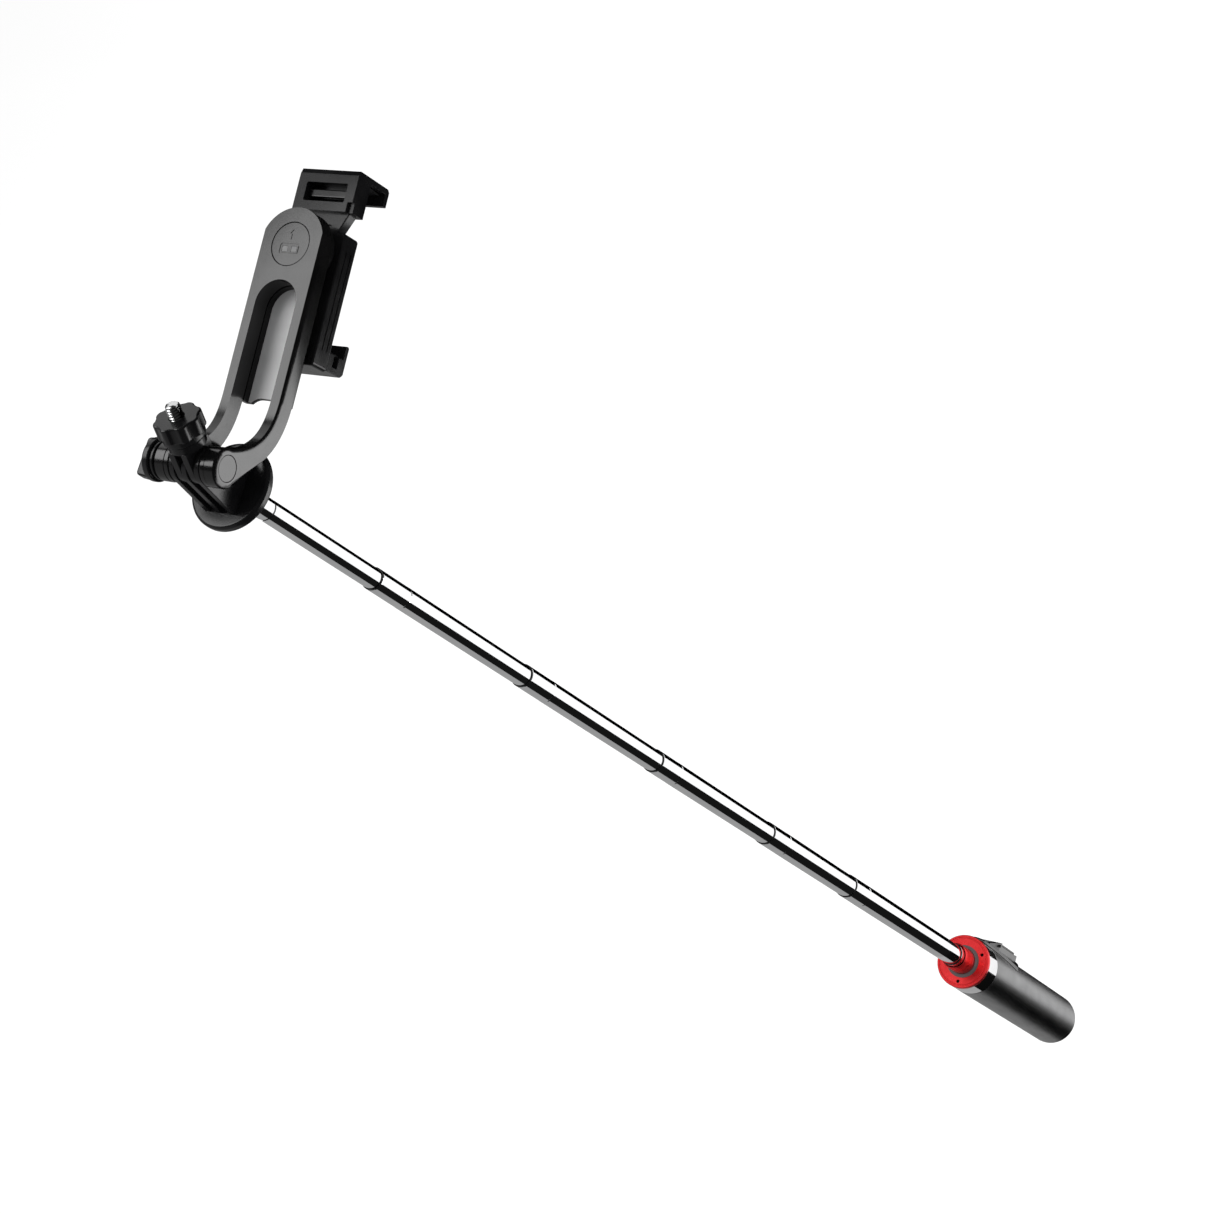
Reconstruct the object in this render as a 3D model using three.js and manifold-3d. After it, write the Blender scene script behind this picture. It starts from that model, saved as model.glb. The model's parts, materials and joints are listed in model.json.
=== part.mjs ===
// Selfie stick: grip with a clip-on shutter remote, seven telescopic tubes, a finned head
// with a camera stud, and a tilting fork arm that carries a spring phone clamp.
// Millimetres. The grip's axis is Z, the middle of the grip is the origin, +Z points to the
// head, and X is the axle of the tilt joint. The model is drawn as it stands when in use.
import * as THREE from 'three';
import { mergeVertices } from 'three/addons/utils/BufferGeometryUtils.js';
import Module from 'manifold-3d';

const wasm = await Module();
wasm.setup();

// ---------------------------------------------------------------- driving dimensions
const GAP = 0.3;                 // clearance between separate pieces
const ROUND = 28;                // sides of a turned piece

const GRIP_RADIUS = 19;
const GRIP_LENGTH = 196;
const GRIP_WALL = 2;
const GRIP_TOP = GRIP_LENGTH / 2;
const GRIP_BOTTOM = -GRIP_LENGTH / 2;
const SLEEVE_LENGTH = 17.5;      // glossy ring in front of the grip
const COLLAR_THICKNESS = 3;
const COLLAR_BACK = GRIP_TOP + SLEEVE_LENGTH;
const COLLAR_FRONT = COLLAR_BACK + COLLAR_THICKNESS;
const NECK_RADIUS = 9.2;
const NECK_LENGTH = 19.3;
const SCREW_CIRCLE = 14.5;       // radius of the collar's screw circle
const SCREW_ANGLES = [30, 150, 270];

const TUBE_COUNT = 7;            // tube 7 is fixed in the grip, tube 1 carries the head
const TUBE_RADIUS_1 = 4.9;
const TUBE_STEP = 0.52;          // each tube's radius is larger by this
const TUBE_WALL = 0.35;
const CRIMP_LENGTH = 24;
const CRIMP_DEPTH = 0.12;
const TUBE_7_TOP = COLLAR_FRONT + NECK_LENGTH + 5.7;
const TUBE_7_LENGTH = 232;
const SHOWN = { 6: 202, 5: 132, 4: 153, 3: 149, 2: 139, 1: 106.5 };   // bare length as drawn
const TUBE_LENGTH = { 6: 228, 5: 224, 4: 220, 3: 216, 2: 212, 1: 208 };

const DISC_RADIUS = 18.6;
const DISC_THICKNESS = 4.5;
const AXLE_ABOVE_DISC = 22.4;
const BARREL_RADIUS = 8;
const FIN_PITCH = 6.3;
const FIN_THICKNESS = 2.6;
const FIN_FOOT = 12;             // half of a fin's foot along Y
const BOLT_RADIUS = 2.4;

const ARM_TILT = 6.25;           // degrees from square to the tubes, towards the front
const ARM_HALF_WIDTH = 15.6;
const ARM_FRONT = -21.8;         // the arm's front face, measured from the axle
const ARM_THICKNESS = 7.8;
const ARM_BACK = ARM_FRONT - ARM_THICKNESS;
const PLATE_Y = 99.5;            // centre of the round plate at the arm's end
const WINDOW_HALF_WIDTH = 10;
const WINDOW_TOP_Y = 74;         // centre of the window's round end
const TRAY_FLOOR = -33;
const TRAY_BACK = -34.6;
const BADGE_RADIUS = 9.3;
const ADAPTER_TILT = 59;         // degrees from the arm's side towards the front
const NUT_LOBES = 8;
const NUT_RADIUS = 9.9;
const STUD_RADIUS = 3.1;         // 1/4 inch camera screw
const STUD_TIP = 29;             // from the axle

const CLAMP_HALF_WIDTH = 15.5;
const CLAMP_FRONT = -35.2;       // the face that looks at the arm
const CLAMP_BACK = -45;          // the face that looks at the phone
const CLAMP_BOTTOM = 53.5;
const CLAMP_TOP = 110;
const JAW_BOTTOM = 119;
const HOOK_UNDERSIDE = 134.3;
const LEDGE_TOP = 62.2;          // the lower jaw's seat
const LIP_INSIDE = -55.2;
const LIP_OUTSIDE = -57.4;

const REMOTE_HALF_WIDTH = 8;
const REMOTE_BOTTOM_Y = 20.6;
const REMOTE_TOP_Y = 24.3;
const REMOTE_REAR = 42;
const REMOTE_FRONT = 76;

// ---------------------------------------------------------------- materials
const finish = (color, roughness, metalness) =>
  new THREE.MeshStandardMaterial({ color, roughness, metalness });
const matteBlack = finish('#1b1b1c', 0.55, 0.3);
const glossBlack = finish('#0b0b0c', 0.12, 0.0);
const redAnodised = finish('#c4161c', 0.3, 0.9);
const chrome = finish('#e4e6e8', 0.06, 1.0);
const satinPlastic = finish('#2b2b2d', 0.5, 0.0);
const darkPlastic = finish('#151516', 0.4, 0.0);
const rubber = finish('#1a1a1a', 0.9, 0.0);
const steel = finish('#9a9c9f', 0.35, 1.0);
const boardGreen = finish('#1d5b3a', 0.6, 0.0);

// ---------------------------------------------------------------- shape helpers
const solidOf = (geometry) => {
  const bare = geometry.clone();
  bare.deleteAttribute('normal');
  bare.deleteAttribute('uv');
  const merged = mergeVertices(bare, 1e-4);
  const vertProperties = new Float32Array(merged.attributes.position.array);
  const triVerts = new Uint32Array(merged.index.array);
  return new wasm.Manifold(new wasm.Mesh({ numProp: 3, vertProperties, triVerts }));
};

const geometryOf = (solid) => {
  const mesh = solid.getMesh();
  const geometry = new THREE.BufferGeometry();
  geometry.setAttribute('position', new THREE.BufferAttribute(mesh.vertProperties, 3));
  geometry.setIndex(new THREE.BufferAttribute(mesh.triVerts, 1));
  geometry.computeVertexNormals();
  return geometry;
};

const join = (first, ...others) =>
  geometryOf(others.reduce((sum, other) => sum.add(solidOf(other)), solidOf(first)));
const cut = (first, ...others) =>
  geometryOf(others.reduce((rest, other) => rest.subtract(solidOf(other)), solidOf(first)));
const common = (first, second) => geometryOf(solidOf(first).intersect(solidOf(second)));

// A turned piece about Z from [radius, z] pairs, given from low z to high z on the outside.
const turned = (profile, sides = ROUND) => {
  const points = profile.map(([radius, z]) => new THREE.Vector2(radius, z));
  if (points[0].x > 0 || points[points.length - 1].x > 0) points.push(points[0].clone());
  return new THREE.LatheGeometry(points, sides).rotateX(Math.PI / 2);
};
const rod = (radius, low, high, sides = ROUND) =>
  turned([[0, low], [radius, low], [radius, high], [0, high]], sides);
const pipe = (outer, inner, low, high, sides = ROUND) =>
  turned([[outer, low], [outer, high], [inner, high], [inner, low]], sides);

// Turned pieces about X and about Y.
const alongX = (geometry) => geometry.rotateY(Math.PI / 2);
const alongY = (geometry) => geometry.rotateX(-Math.PI / 2);

// A box from its low corner to its high corner.
const box = (x1, x2, y1, y2, z1, z2) => {
  const geometry = new THREE.BoxGeometry(x2 - x1, y2 - y1, z2 - z1);
  return geometry.translate((x1 + x2) / 2, (y1 + y2) / 2, (z1 + z2) / 2);
};

// An outline in X and Y, extruded from z = low to z = high.
const slab = (shape, low, high, curveSegments = 8) => {
  const settings = { depth: high - low, bevelEnabled: false, curveSegments };
  return new THREE.ExtrudeGeometry(shape, settings).translate(0, 0, low);
};
// An outline in Y and Z, extruded from x = low to x = high.
const sideSlab = (shape, low, high, curveSegments = 8) =>
  slab(shape, low, high, curveSegments).rotateZ(Math.PI / 2).rotateY(Math.PI / 2);

const polygon = (pairs) => new THREE.Shape(pairs.map(([x, y]) => new THREE.Vector2(x, y)));

// A rectangle with rounded corners.
const roundedRectangle = (x1, x2, y1, y2, radius) => {
  const shape = new THREE.Shape();
  shape.moveTo(x1 + radius, y1);
  shape.lineTo(x2 - radius, y1);
  shape.absarc(x2 - radius, y1 + radius, radius, -Math.PI / 2, 0);
  shape.lineTo(x2, y2 - radius);
  shape.absarc(x2 - radius, y2 - radius, radius, 0, Math.PI / 2);
  shape.lineTo(x1 + radius, y2);
  shape.absarc(x1 + radius, y2 - radius, radius, Math.PI / 2, Math.PI);
  shape.lineTo(x1, y1 + radius);
  shape.absarc(x1 + radius, y1 + radius, radius, Math.PI, Math.PI * 1.5);
  return shape;
};

// A strip with straight sides, a square lower end and a round upper end.
const tongue = (halfWidth, bottomY, roundY) => {
  const shape = new THREE.Shape();
  shape.moveTo(-halfWidth, bottomY);
  shape.lineTo(halfWidth, bottomY);
  shape.lineTo(halfWidth, roundY);
  shape.absarc(0, roundY, halfWidth, 0, Math.PI);
  return shape;
};

const radians = THREE.MathUtils.degToRad;
const stick = new THREE.Group();
const add = (group, name, geometry, material) => {
  const mesh = new THREE.Mesh(geometry, material);
  mesh.name = name;
  group.add(mesh);
};

// ---------------------------------------------------------------- grip
const tubeRadius = (number) => TUBE_RADIUS_1 + TUBE_STEP * (number - 1);
const fixedTube = tubeRadius(TUBE_COUNT);
const gripBore = GRIP_RADIUS - GRIP_WALL;
const CAP_SEAM = 7;              // height of the end cap
const capTop = GRIP_BOTTOM + CAP_SEAM;
const capSkirtBore = gripBore - 2;

add(stick, 'grip_shell', pipe(GRIP_RADIUS, gripBore, capTop + 0.2, GRIP_TOP - 0.1), matteBlack);

const endCap = turned([
  [0, GRIP_BOTTOM], [14.5, GRIP_BOTTOM], [17.2, GRIP_BOTTOM + 0.9], [18.6, GRIP_BOTTOM + 2.6],
  [GRIP_RADIUS, GRIP_BOTTOM + 5], [GRIP_RADIUS, capTop - 0.1], [gripBore - GAP, capTop - 0.1],
  [gripBore - GAP, capTop + 6], [capSkirtBore, capTop + 6], [capSkirtBore, capTop - 2],
  [0, capTop - 2]]);
add(stick, 'grip_end_cap', endCap, matteBlack);

const sleeve = turned([
  [gripBore - GAP, GRIP_TOP - 12], [gripBore - GAP, GRIP_TOP + 0.1],
  [GRIP_RADIUS - 0.1, GRIP_TOP + 0.1], [GRIP_RADIUS - 0.1, COLLAR_BACK - 0.2],
  [fixedTube + GAP, COLLAR_BACK - 0.2], [fixedTube + GAP, GRIP_TOP - 12]]);
const threadHoles = SCREW_ANGLES.map((angle) => {
  const x = SCREW_CIRCLE * Math.cos(radians(angle));
  const y = SCREW_CIRCLE * Math.sin(radians(angle));
  return rod(1.2, COLLAR_BACK - 8, COLLAR_BACK + 1, 10).translate(x, y, 0);
});
add(stick, 'grip_sleeve', cut(sleeve, ...threadHoles), glossBlack);

const FOOT_LOW = TUBE_7_TOP - TUBE_7_LENGTH - 4;
const footRadius = capSkirtBore - GAP;   // the foot sits inside the end cap's skirt
const foot = turned([
  [0, FOOT_LOW], [footRadius, FOOT_LOW], [footRadius, FOOT_LOW + 5],
  [fixedTube + 2.5, FOOT_LOW + 8], [fixedTube + 2.5, FOOT_LOW + 16], [fixedTube + 0.2, FOOT_LOW + 16],
  [fixedTube + 0.2, FOOT_LOW + 3.7], [0, FOOT_LOW + 3.7]]);
add(stick, 'tube_foot', foot, darkPlastic);

// ---------------------------------------------------------------- red collar and its screws
const RIM_GROOVE = [16.5, 17.5];
const collarBody = turned([
  [GRIP_RADIUS, COLLAR_BACK], [GRIP_RADIUS, COLLAR_FRONT - 0.4], [GRIP_RADIUS - 0.4, COLLAR_FRONT],
  [RIM_GROOVE[1], COLLAR_FRONT], [RIM_GROOVE[1], COLLAR_FRONT - 0.6],
  [RIM_GROOVE[0], COLLAR_FRONT - 0.6], [RIM_GROOVE[0], COLLAR_FRONT],
  [NECK_RADIUS, COLLAR_FRONT], [NECK_RADIUS, COLLAR_FRONT + NECK_LENGTH - 0.5],
  [NECK_RADIUS - 0.5, COLLAR_FRONT + NECK_LENGTH], [fixedTube + GAP, COLLAR_FRONT + NECK_LENGTH],
  [fixedTube + GAP, COLLAR_BACK]]);
const screwHoles = SCREW_ANGLES.map((angle) => {
  const x = SCREW_CIRCLE * Math.cos(radians(angle));
  const y = SCREW_CIRCLE * Math.sin(radians(angle));
  return rod(1.2, COLLAR_BACK - 1, COLLAR_FRONT + 1, 10).translate(x, y, 0);
});
add(stick, 'red_collar', cut(collarBody, ...screwHoles), redAnodised);
const neckRing = pipe(NECK_RADIUS + 2.4, NECK_RADIUS + 0.1, COLLAR_FRONT + 0.1, COLLAR_FRONT + 1.5);
add(stick, 'neck_ring', neckRing, rubber);
SCREW_ANGLES.forEach((angle, index) => {
  const x = SCREW_CIRCLE * Math.cos(radians(angle));
  const y = SCREW_CIRCLE * Math.sin(radians(angle));
  const screw = rod(0.9, COLLAR_BACK - 7.5, COLLAR_FRONT - 1.8, 8).translate(x, y, 0);
  add(stick, `collar_screw_${index + 1}`, screw, steel);
});

// ---------------------------------------------------------------- telescopic tubes
// A tube from its foot to its mouth. The last stretch before the mouth is crimped inwards.
const tube = (radius, low, high) => turned([
  [radius, low], [radius, high - CRIMP_LENGTH], [radius - CRIMP_DEPTH, high - CRIMP_LENGTH + 0.4],
  [radius - CRIMP_DEPTH, high], [radius - TUBE_WALL, high], [radius - TUBE_WALL, low]]);
// The plastic bush that closes a tube's foot and rubs in the next larger tube.
const bush = (radius, low) => turned([
  [radius, low - 3.2], [radius, low - 0.2], [radius - TUBE_WALL - 0.1, low - 0.2],
  [radius - TUBE_WALL - 0.1, low + 5], [radius - 1.4, low + 5], [radius - 1.4, low - 3.2]]);

add(stick, 'tube_7', tube(fixedTube, TUBE_7_TOP - TUBE_7_LENGTH, TUBE_7_TOP), chrome);
let mouth = TUBE_7_TOP;
for (let number = TUBE_COUNT - 1; number >= 1; number -= 1) {
  mouth += SHOWN[number];
  const low = mouth - TUBE_LENGTH[number];
  add(stick, `tube_${number}`, tube(tubeRadius(number), low, mouth), chrome);
  add(stick, `tube_${number}_bush`, bush(tubeRadius(number), low), darkPlastic);
}

// ---------------------------------------------------------------- head disc with three fins
const discBack = mouth;
const discFront = discBack + DISC_THICKNESS;
const axleZ = discFront + AXLE_ABOVE_DISC;
const headTube = tubeRadius(1);
const hub = pipe(headTube + 2, headTube + 0.2, discBack - 8, discBack + 0.6);
// A fin's side: a round end about the axle, widening to its foot on the disc.
const finOutline = () => {
  const lean = Math.asin((FIN_FOOT - BARREL_RADIUS) / AXLE_ABOVE_DISC);
  const shape = new THREE.Shape();
  shape.moveTo(-FIN_FOOT, -AXLE_ABOVE_DISC - 0.5);
  shape.lineTo(FIN_FOOT, -AXLE_ABOVE_DISC - 0.5);
  shape.absarc(0, 0, BARREL_RADIUS, lean, Math.PI - lean);
  return shape;
};
const fins = [-1, 0, 1].map((place) => {
  const middle = place * FIN_PITCH;
  return sideSlab(finOutline(), middle - FIN_THICKNESS / 2, middle + FIN_THICKNESS / 2, 14)
    .translate(0, 0, axleZ);
});
const axleHole = (radius, low, high) => alongX(rod(radius, low, high, 20)).translate(0, 0, axleZ);
const disc = turned([
  [0, discBack], [DISC_RADIUS - 1, discBack], [DISC_RADIUS, discBack + 0.8],
  [DISC_RADIUS, discFront - 1.3], [DISC_RADIUS - 1.2, discFront], [0, discFront]]);
const headBody = cut(join(disc, hub, ...fins),
  axleHole(BOLT_RADIUS + GAP, -12, 12), rod(headTube + 0.2, discBack - 9, discBack + 1.2));
add(stick, 'head_disc', headBody, darkPlastic);
add(stick, 'head_plug', rod(headTube - TUBE_WALL - 0.15, discBack - 22, discBack + 0.9), darkPlastic);

// ---------------------------------------------------------------- axle bolt and thumb knob

const PRONG_INSIDE = FIN_PITCH + FIN_THICKNESS / 2 + GAP;
const WASHER = [-17.5, -16];     // along X, outside the far prong
const KNOB_RING = [-21, -17.8];
const WING_END = -26.5;
const axleBolt = alongX(rod(BOLT_RADIUS, -22, 14, 20)).translate(0, 0, axleZ);
add(stick, 'pivot_bolt', axleBolt, steel);
const knobRing = alongX(rod(9, KNOB_RING[0], KNOB_RING[1]));
const wing = slab(roundedRectangle(WING_END, KNOB_RING[0] + 0.5, -8, 8, 2), -2.5, 2.5, 4);
const knobSocket = alongX(rod(BOLT_RADIUS + 0.15, -22.1, -17, 20));
add(stick, 'thumb_knob', cut(join(knobRing, wing), knobSocket).translate(0, 0, axleZ), darkPlastic);

// ---------------------------------------------------------------- camera adapter on the axle
// Drawn with the stud along Z, then tilted about the axle.
const FINGER = [FIN_THICKNESS / 2 + GAP, FIN_PITCH - FIN_THICKNESS / 2 - GAP];
const FINGER_RADIUS = 7.5;
const BASE_LOW = 9.8;
const NUT_LOW = 13.8;
const NUT_STEP = 16;             // where the narrow tier ends and the lobes start
const NUT_TOP = 23.4;
const adapter = new THREE.Group();
adapter.position.set(0, 0, axleZ);
adapter.rotation.x = radians(ADAPTER_TILT - 90);
stick.add(adapter);

const fingerOutline = new THREE.Shape();
fingerOutline.moveTo(FINGER_RADIUS, BASE_LOW + 0.5);
fingerOutline.lineTo(-FINGER_RADIUS, BASE_LOW + 0.5);
fingerOutline.absarc(0, 0, FINGER_RADIUS, Math.PI, 2 * Math.PI);
const fingers = [1, -1].map((side) => {
  const low = side > 0 ? FINGER[0] : -FINGER[1];
  return sideSlab(fingerOutline, low, low + FINGER[1] - FINGER[0], 14);
});
const adapterBase = rod(7.8, BASE_LOW, NUT_LOW - GAP);
add(adapter, 'camera_adapter', cut(join(adapterBase, ...fingers),
  alongX(rod(BOLT_RADIUS + GAP, -6, 6, 20)), rod(STUD_RADIUS + 0.1, BASE_LOW + 0.7, NUT_LOW, 20)),
darkPlastic);
const stud = turned([[0, BASE_LOW + 0.9], [STUD_RADIUS, BASE_LOW + 0.9],
  [STUD_RADIUS, STUD_TIP - 0.7], [STUD_RADIUS - 0.7, STUD_TIP], [0, STUD_TIP]], 20);
add(adapter, 'tripod_stud', stud, steel);

const lobes = new THREE.Shape();
const NUT_STEPS = 8;             // points on each lobe
for (let step = 0; step < NUT_LOBES * NUT_STEPS; step += 1) {
  const angle = 2 * Math.PI * step / (NUT_LOBES * NUT_STEPS);
  const radius = NUT_RADIUS - 0.3 + 0.3 * Math.cos(NUT_LOBES * angle);
  const x = radius * Math.cos(angle);
  const y = radius * Math.sin(angle);
  if (step === 0) lobes.moveTo(x, y);
  else lobes.lineTo(x, y);
}
const nutTiers = join(slab(lobes, NUT_STEP, NUT_TOP), rod(8.8, NUT_LOW, NUT_STEP + 0.5));
const nutBore = rod(STUD_RADIUS + GAP, NUT_LOW - 1, NUT_TOP + 1, 20);
add(adapter, 'lock_nut', cut(nutTiers, nutBore), darkPlastic);

// ---------------------------------------------------------------- fork arm
// The arm's frame: the axle is the origin, Y runs up the arm, Z is square to its front face.
const arm = new THREE.Group();
arm.position.set(0, 0, axleZ);
arm.rotation.x = radians(ARM_TILT);
stick.add(arm);

const PRONG_RADIUS = 8.2;
const armTop = PLATE_Y + ARM_HALF_WIDTH;
const armSide = new THREE.Shape();
armSide.moveTo(-5.7, -5.9);
armSide.lineTo(9, -20.3);
armSide.bezierCurveTo(15, -26.2, 24, ARM_BACK, 35, ARM_BACK);
armSide.lineTo(armTop + 1, ARM_BACK);
armSide.lineTo(armTop + 1, ARM_FRONT);
armSide.lineTo(36, ARM_FRONT);
armSide.bezierCurveTo(24, ARM_FRONT, 13, -19, 8.15, -0.9);
armSide.absarc(0, 0, PRONG_RADIUS, radians(-6.3), radians(226));
const armFront = tongue(ARM_HALF_WIDTH, -PRONG_RADIUS - 1, PLATE_Y);
const forkGap = tongue(WINDOW_HALF_WIDTH, -PRONG_RADIUS - 2, WINDOW_TOP_Y);
const fork = cut(
  common(sideSlab(armSide, -ARM_HALF_WIDTH, ARM_HALF_WIDTH, 12),
    slab(armFront, ARM_BACK - 1, PRONG_RADIUS + 1, 12)),
  slab(forkGap, ARM_BACK - 2, PRONG_RADIUS + 2, 12));
const bosses = [1, -1].map((side) => {
  const low = side > 0 ? PRONG_INSIDE : -WINDOW_HALF_WIDTH - 1;
  return alongX(rod(PRONG_RADIUS, low, low + WINDOW_HALF_WIDTH + 1 - PRONG_INSIDE));
});
const PRONG_NUT = [10.4, 14.2];  // along X, the nut in the near prong
const nutPocket = alongX(rod(4.9, PRONG_NUT[0] - GAP, 15, 6));
const capPocket = alongX(rod(5.7, 14.5, 20, 24));
const boltBore = alongX(rod(BOLT_RADIUS + GAP, -20, 20, 20));
const badgePocket = rod(BADGE_RADIUS + GAP, ARM_FRONT - 1.6, ARM_FRONT + 1).translate(0, PLATE_Y, 0);
const SWIVEL_NUT = [-27, -24];
const swivelPocket = rod(4.4, SWIVEL_NUT[0] - GAP, ARM_FRONT, 6).translate(0, PLATE_Y, 0);
const SWIVEL_BORE = 2.3;
const swivelBore = rod(SWIVEL_BORE, ARM_BACK - 1, ARM_FRONT, 16).translate(0, PLATE_Y, 0);
const forkBody = cut(join(fork, ...bosses), boltBore, nutPocket, capPocket, badgePocket,
  swivelPocket, swivelBore);
add(arm, 'fork_arm', forkBody, satinPlastic);

const prongNut = cut(alongX(rod(4.5, PRONG_NUT[0], PRONG_NUT[1], 6)),
  alongX(rod(BOLT_RADIUS + 0.15, 9, 16, 20)));
add(arm, 'pivot_nut', prongNut, steel);
add(arm, 'prong_cap', alongX(rod(5.4, 14.8, ARM_HALF_WIDTH - 0.1, 24)), satinPlastic);
const washer = alongX(pipe(PRONG_RADIUS - 0.2, BOLT_RADIUS + GAP, WASHER[0], WASHER[1]));
add(arm, 'knob_washer', washer, darkPlastic);

// The tray closes the window from behind, down to where the arm bends.
const TRAY_BOTTOM = 32;
const TRAY_WALL = 2;
const trayFront = ARM_BACK - GAP;
const trayOuter = tongue(WINDOW_HALF_WIDTH + TRAY_WALL, TRAY_BOTTOM, WINDOW_TOP_Y);
const trayInner = tongue(WINDOW_HALF_WIDTH, TRAY_BOTTOM - 1, WINDOW_TOP_Y);
const TRAY_ARCH = 4.6;           // the floor's lower edge is an arch with these corners
const trayArch = roundedRectangle(-WINDOW_HALF_WIDTH, WINDOW_HALF_WIDTH, TRAY_BOTTOM - 12,
  TRAY_BOTTOM + TRAY_ARCH, TRAY_ARCH);
const tray = cut(slab(trayOuter, TRAY_BACK, trayFront, 12),
  slab(trayInner, TRAY_FLOOR, trayFront + 1, 12), slab(trayArch, TRAY_BACK - 1, TRAY_FLOOR + 1, 6));
add(arm, 'arm_tray', tray, satinPlastic);

const badge = rod(BADGE_RADIUS, ARM_FRONT - 1.3, ARM_FRONT - 0.1, 40).translate(0, PLATE_Y, 0);
add(arm, 'arm_badge', badge, satinPlastic);
const swivelNut = cut(rod(4, SWIVEL_NUT[0], SWIVEL_NUT[1], 6), rod(2, -30, -20, 16));
add(arm, 'swivel_nut', swivelNut.translate(0, PLATE_Y, 0), steel);

// ---------------------------------------------------------------- phone clamp, in the arm's frame
const SWIVEL_SHANK = 1.8;
const discFace = CLAMP_FRONT + GAP;
const swivelDisc = pipe(13, SWIVEL_BORE, discFace, ARM_BACK - GAP).translate(0, PLATE_Y, 0);
add(arm, 'swivel_disc', swivelDisc, darkPlastic);
const WEB_BACK = -37.2;          // the clamp body's wall beside the swivel
const swivelScrew = turned([[0, WEB_BACK - 3.4], [4.2, WEB_BACK - 3.4], [4.2, WEB_BACK - 1],
  [SWIVEL_SHANK, WEB_BACK - 1], [SWIVEL_SHANK, SWIVEL_NUT[1] - 0.5], [0, SWIVEL_NUT[1] - 0.5]], 16);
add(arm, 'swivel_screw', swivelScrew.translate(0, PLATE_Y, 0), steel);
const swivelWasher = pipe(5, SWIVEL_BORE, WEB_BACK - 0.8, WEB_BACK - 0.2).translate(0, PLATE_Y, 0);
add(arm, 'swivel_washer', swivelWasher, steel);

const POCKET_HALF_WIDTH = 14;
const POCKET_BOTTOM = 57;
const clampShell = slab(
  roundedRectangle(-CLAMP_HALF_WIDTH, CLAMP_HALF_WIDTH, CLAMP_BOTTOM, CLAMP_TOP, 1.5),
  CLAMP_BACK, CLAMP_FRONT, 4);
const clampBody = cut(clampShell,
  box(-POCKET_HALF_WIDTH, POCKET_HALF_WIDTH, POCKET_BOTTOM, CLAMP_TOP + 1, CLAMP_BACK - 1, WEB_BACK),
  rod(SWIVEL_BORE, WEB_BACK - 1, CLAMP_FRONT + 1, 16).translate(0, PLATE_Y, 0));
add(arm, 'clamp_body', clampBody, darkPlastic);
const COVER_FRONT = -43.2;
const cover = slab(
  roundedRectangle(-POCKET_HALF_WIDTH + GAP, POCKET_HALF_WIDTH - GAP, POCKET_BOTTOM + GAP,
    CLAMP_TOP - GAP, 1), CLAMP_BACK + 0.1, COVER_FRONT, 4);
add(arm, 'clamp_cover', cover, darkPlastic);
const PAD_BACK = -46.4;
const backPad = slab(roundedRectangle(-12, 12, 64, 106, 2), PAD_BACK, CLAMP_BACK - GAP, 4);
add(arm, 'back_pad', backPad, rubber);

// Upper jaw: a block with a pocket, a hook over the phone's edge, and two legs in the body.
const JAW_HALF_WIDTH = 15;
const JAW_BACK = -44.5;
const JAW_WINDOW = [-10.5, 10.5, 122.9, 131];
const HOOK_TOP = 136.8;
const HOOK_LIP_LOW = 129;
const LEG_INSIDE = 5.3;
const LEG_LOW = 84;
const LEG = [WEB_BACK - 0.4, COVER_FRONT + 0.4];
const jawNeck = polygon([[-13, JAW_BOTTOM + 0.5], [-13, JAW_BOTTOM - 0.5], [-9.5, JAW_BOTTOM - 8],
  [-9.5, LEG_LOW], [-LEG_INSIDE, LEG_LOW], [-LEG_INSIDE, JAW_BOTTOM - 5.5],
  [LEG_INSIDE, JAW_BOTTOM - 5.5], [LEG_INSIDE, LEG_LOW], [9.5, LEG_LOW], [9.5, JAW_BOTTOM - 8],
  [13, JAW_BOTTOM - 0.5], [13, JAW_BOTTOM + 0.5]]);
const hook = polygon([[HOOK_UNDERSIDE, CLAMP_FRONT], [HOOK_TOP, CLAMP_FRONT - 0.8],
  [HOOK_TOP, LIP_OUTSIDE + 1.2], [HOOK_TOP - 1.2, LIP_OUTSIDE], [HOOK_LIP_LOW, LIP_OUTSIDE],
  [HOOK_LIP_LOW, LIP_INSIDE], [HOOK_UNDERSIDE, LIP_INSIDE]]);
const jawBlock = box(-JAW_HALF_WIDTH, JAW_HALF_WIDTH, JAW_BOTTOM, HOOK_UNDERSIDE + 0.5,
  JAW_BACK, CLAMP_FRONT);
const CROSS_BAR = [125.5, 129];
const crossPin = (radius, reach) =>
  alongX(rod(radius, -reach, reach, 10)).translate(0, (CROSS_BAR[0] + CROSS_BAR[1]) / 2, -39.2);
const upperJaw = cut(
  join(jawBlock, sideSlab(hook, -JAW_HALF_WIDTH, JAW_HALF_WIDTH), slab(jawNeck, LEG[1], LEG[0])),
  box(...JAW_WINDOW, JAW_BACK + 2, CLAMP_FRONT + 1), crossPin(1.3, 12.6));
add(arm, 'upper_jaw', upperJaw, darkPlastic);
const crossBar = join(box(-10.2, 10.2, ...CROSS_BAR, -40.5, -37.9), crossPin(1, 12.3));
add(arm, 'jaw_cross_bar', crossBar, satinPlastic);
add(arm, 'upper_jaw_pad', box(-12, 12, HOOK_UNDERSIDE - 1.1, HOOK_UNDERSIDE - 0.2,
  LIP_INSIDE + 0.4, JAW_BACK - 1.5), rubber);

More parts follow.
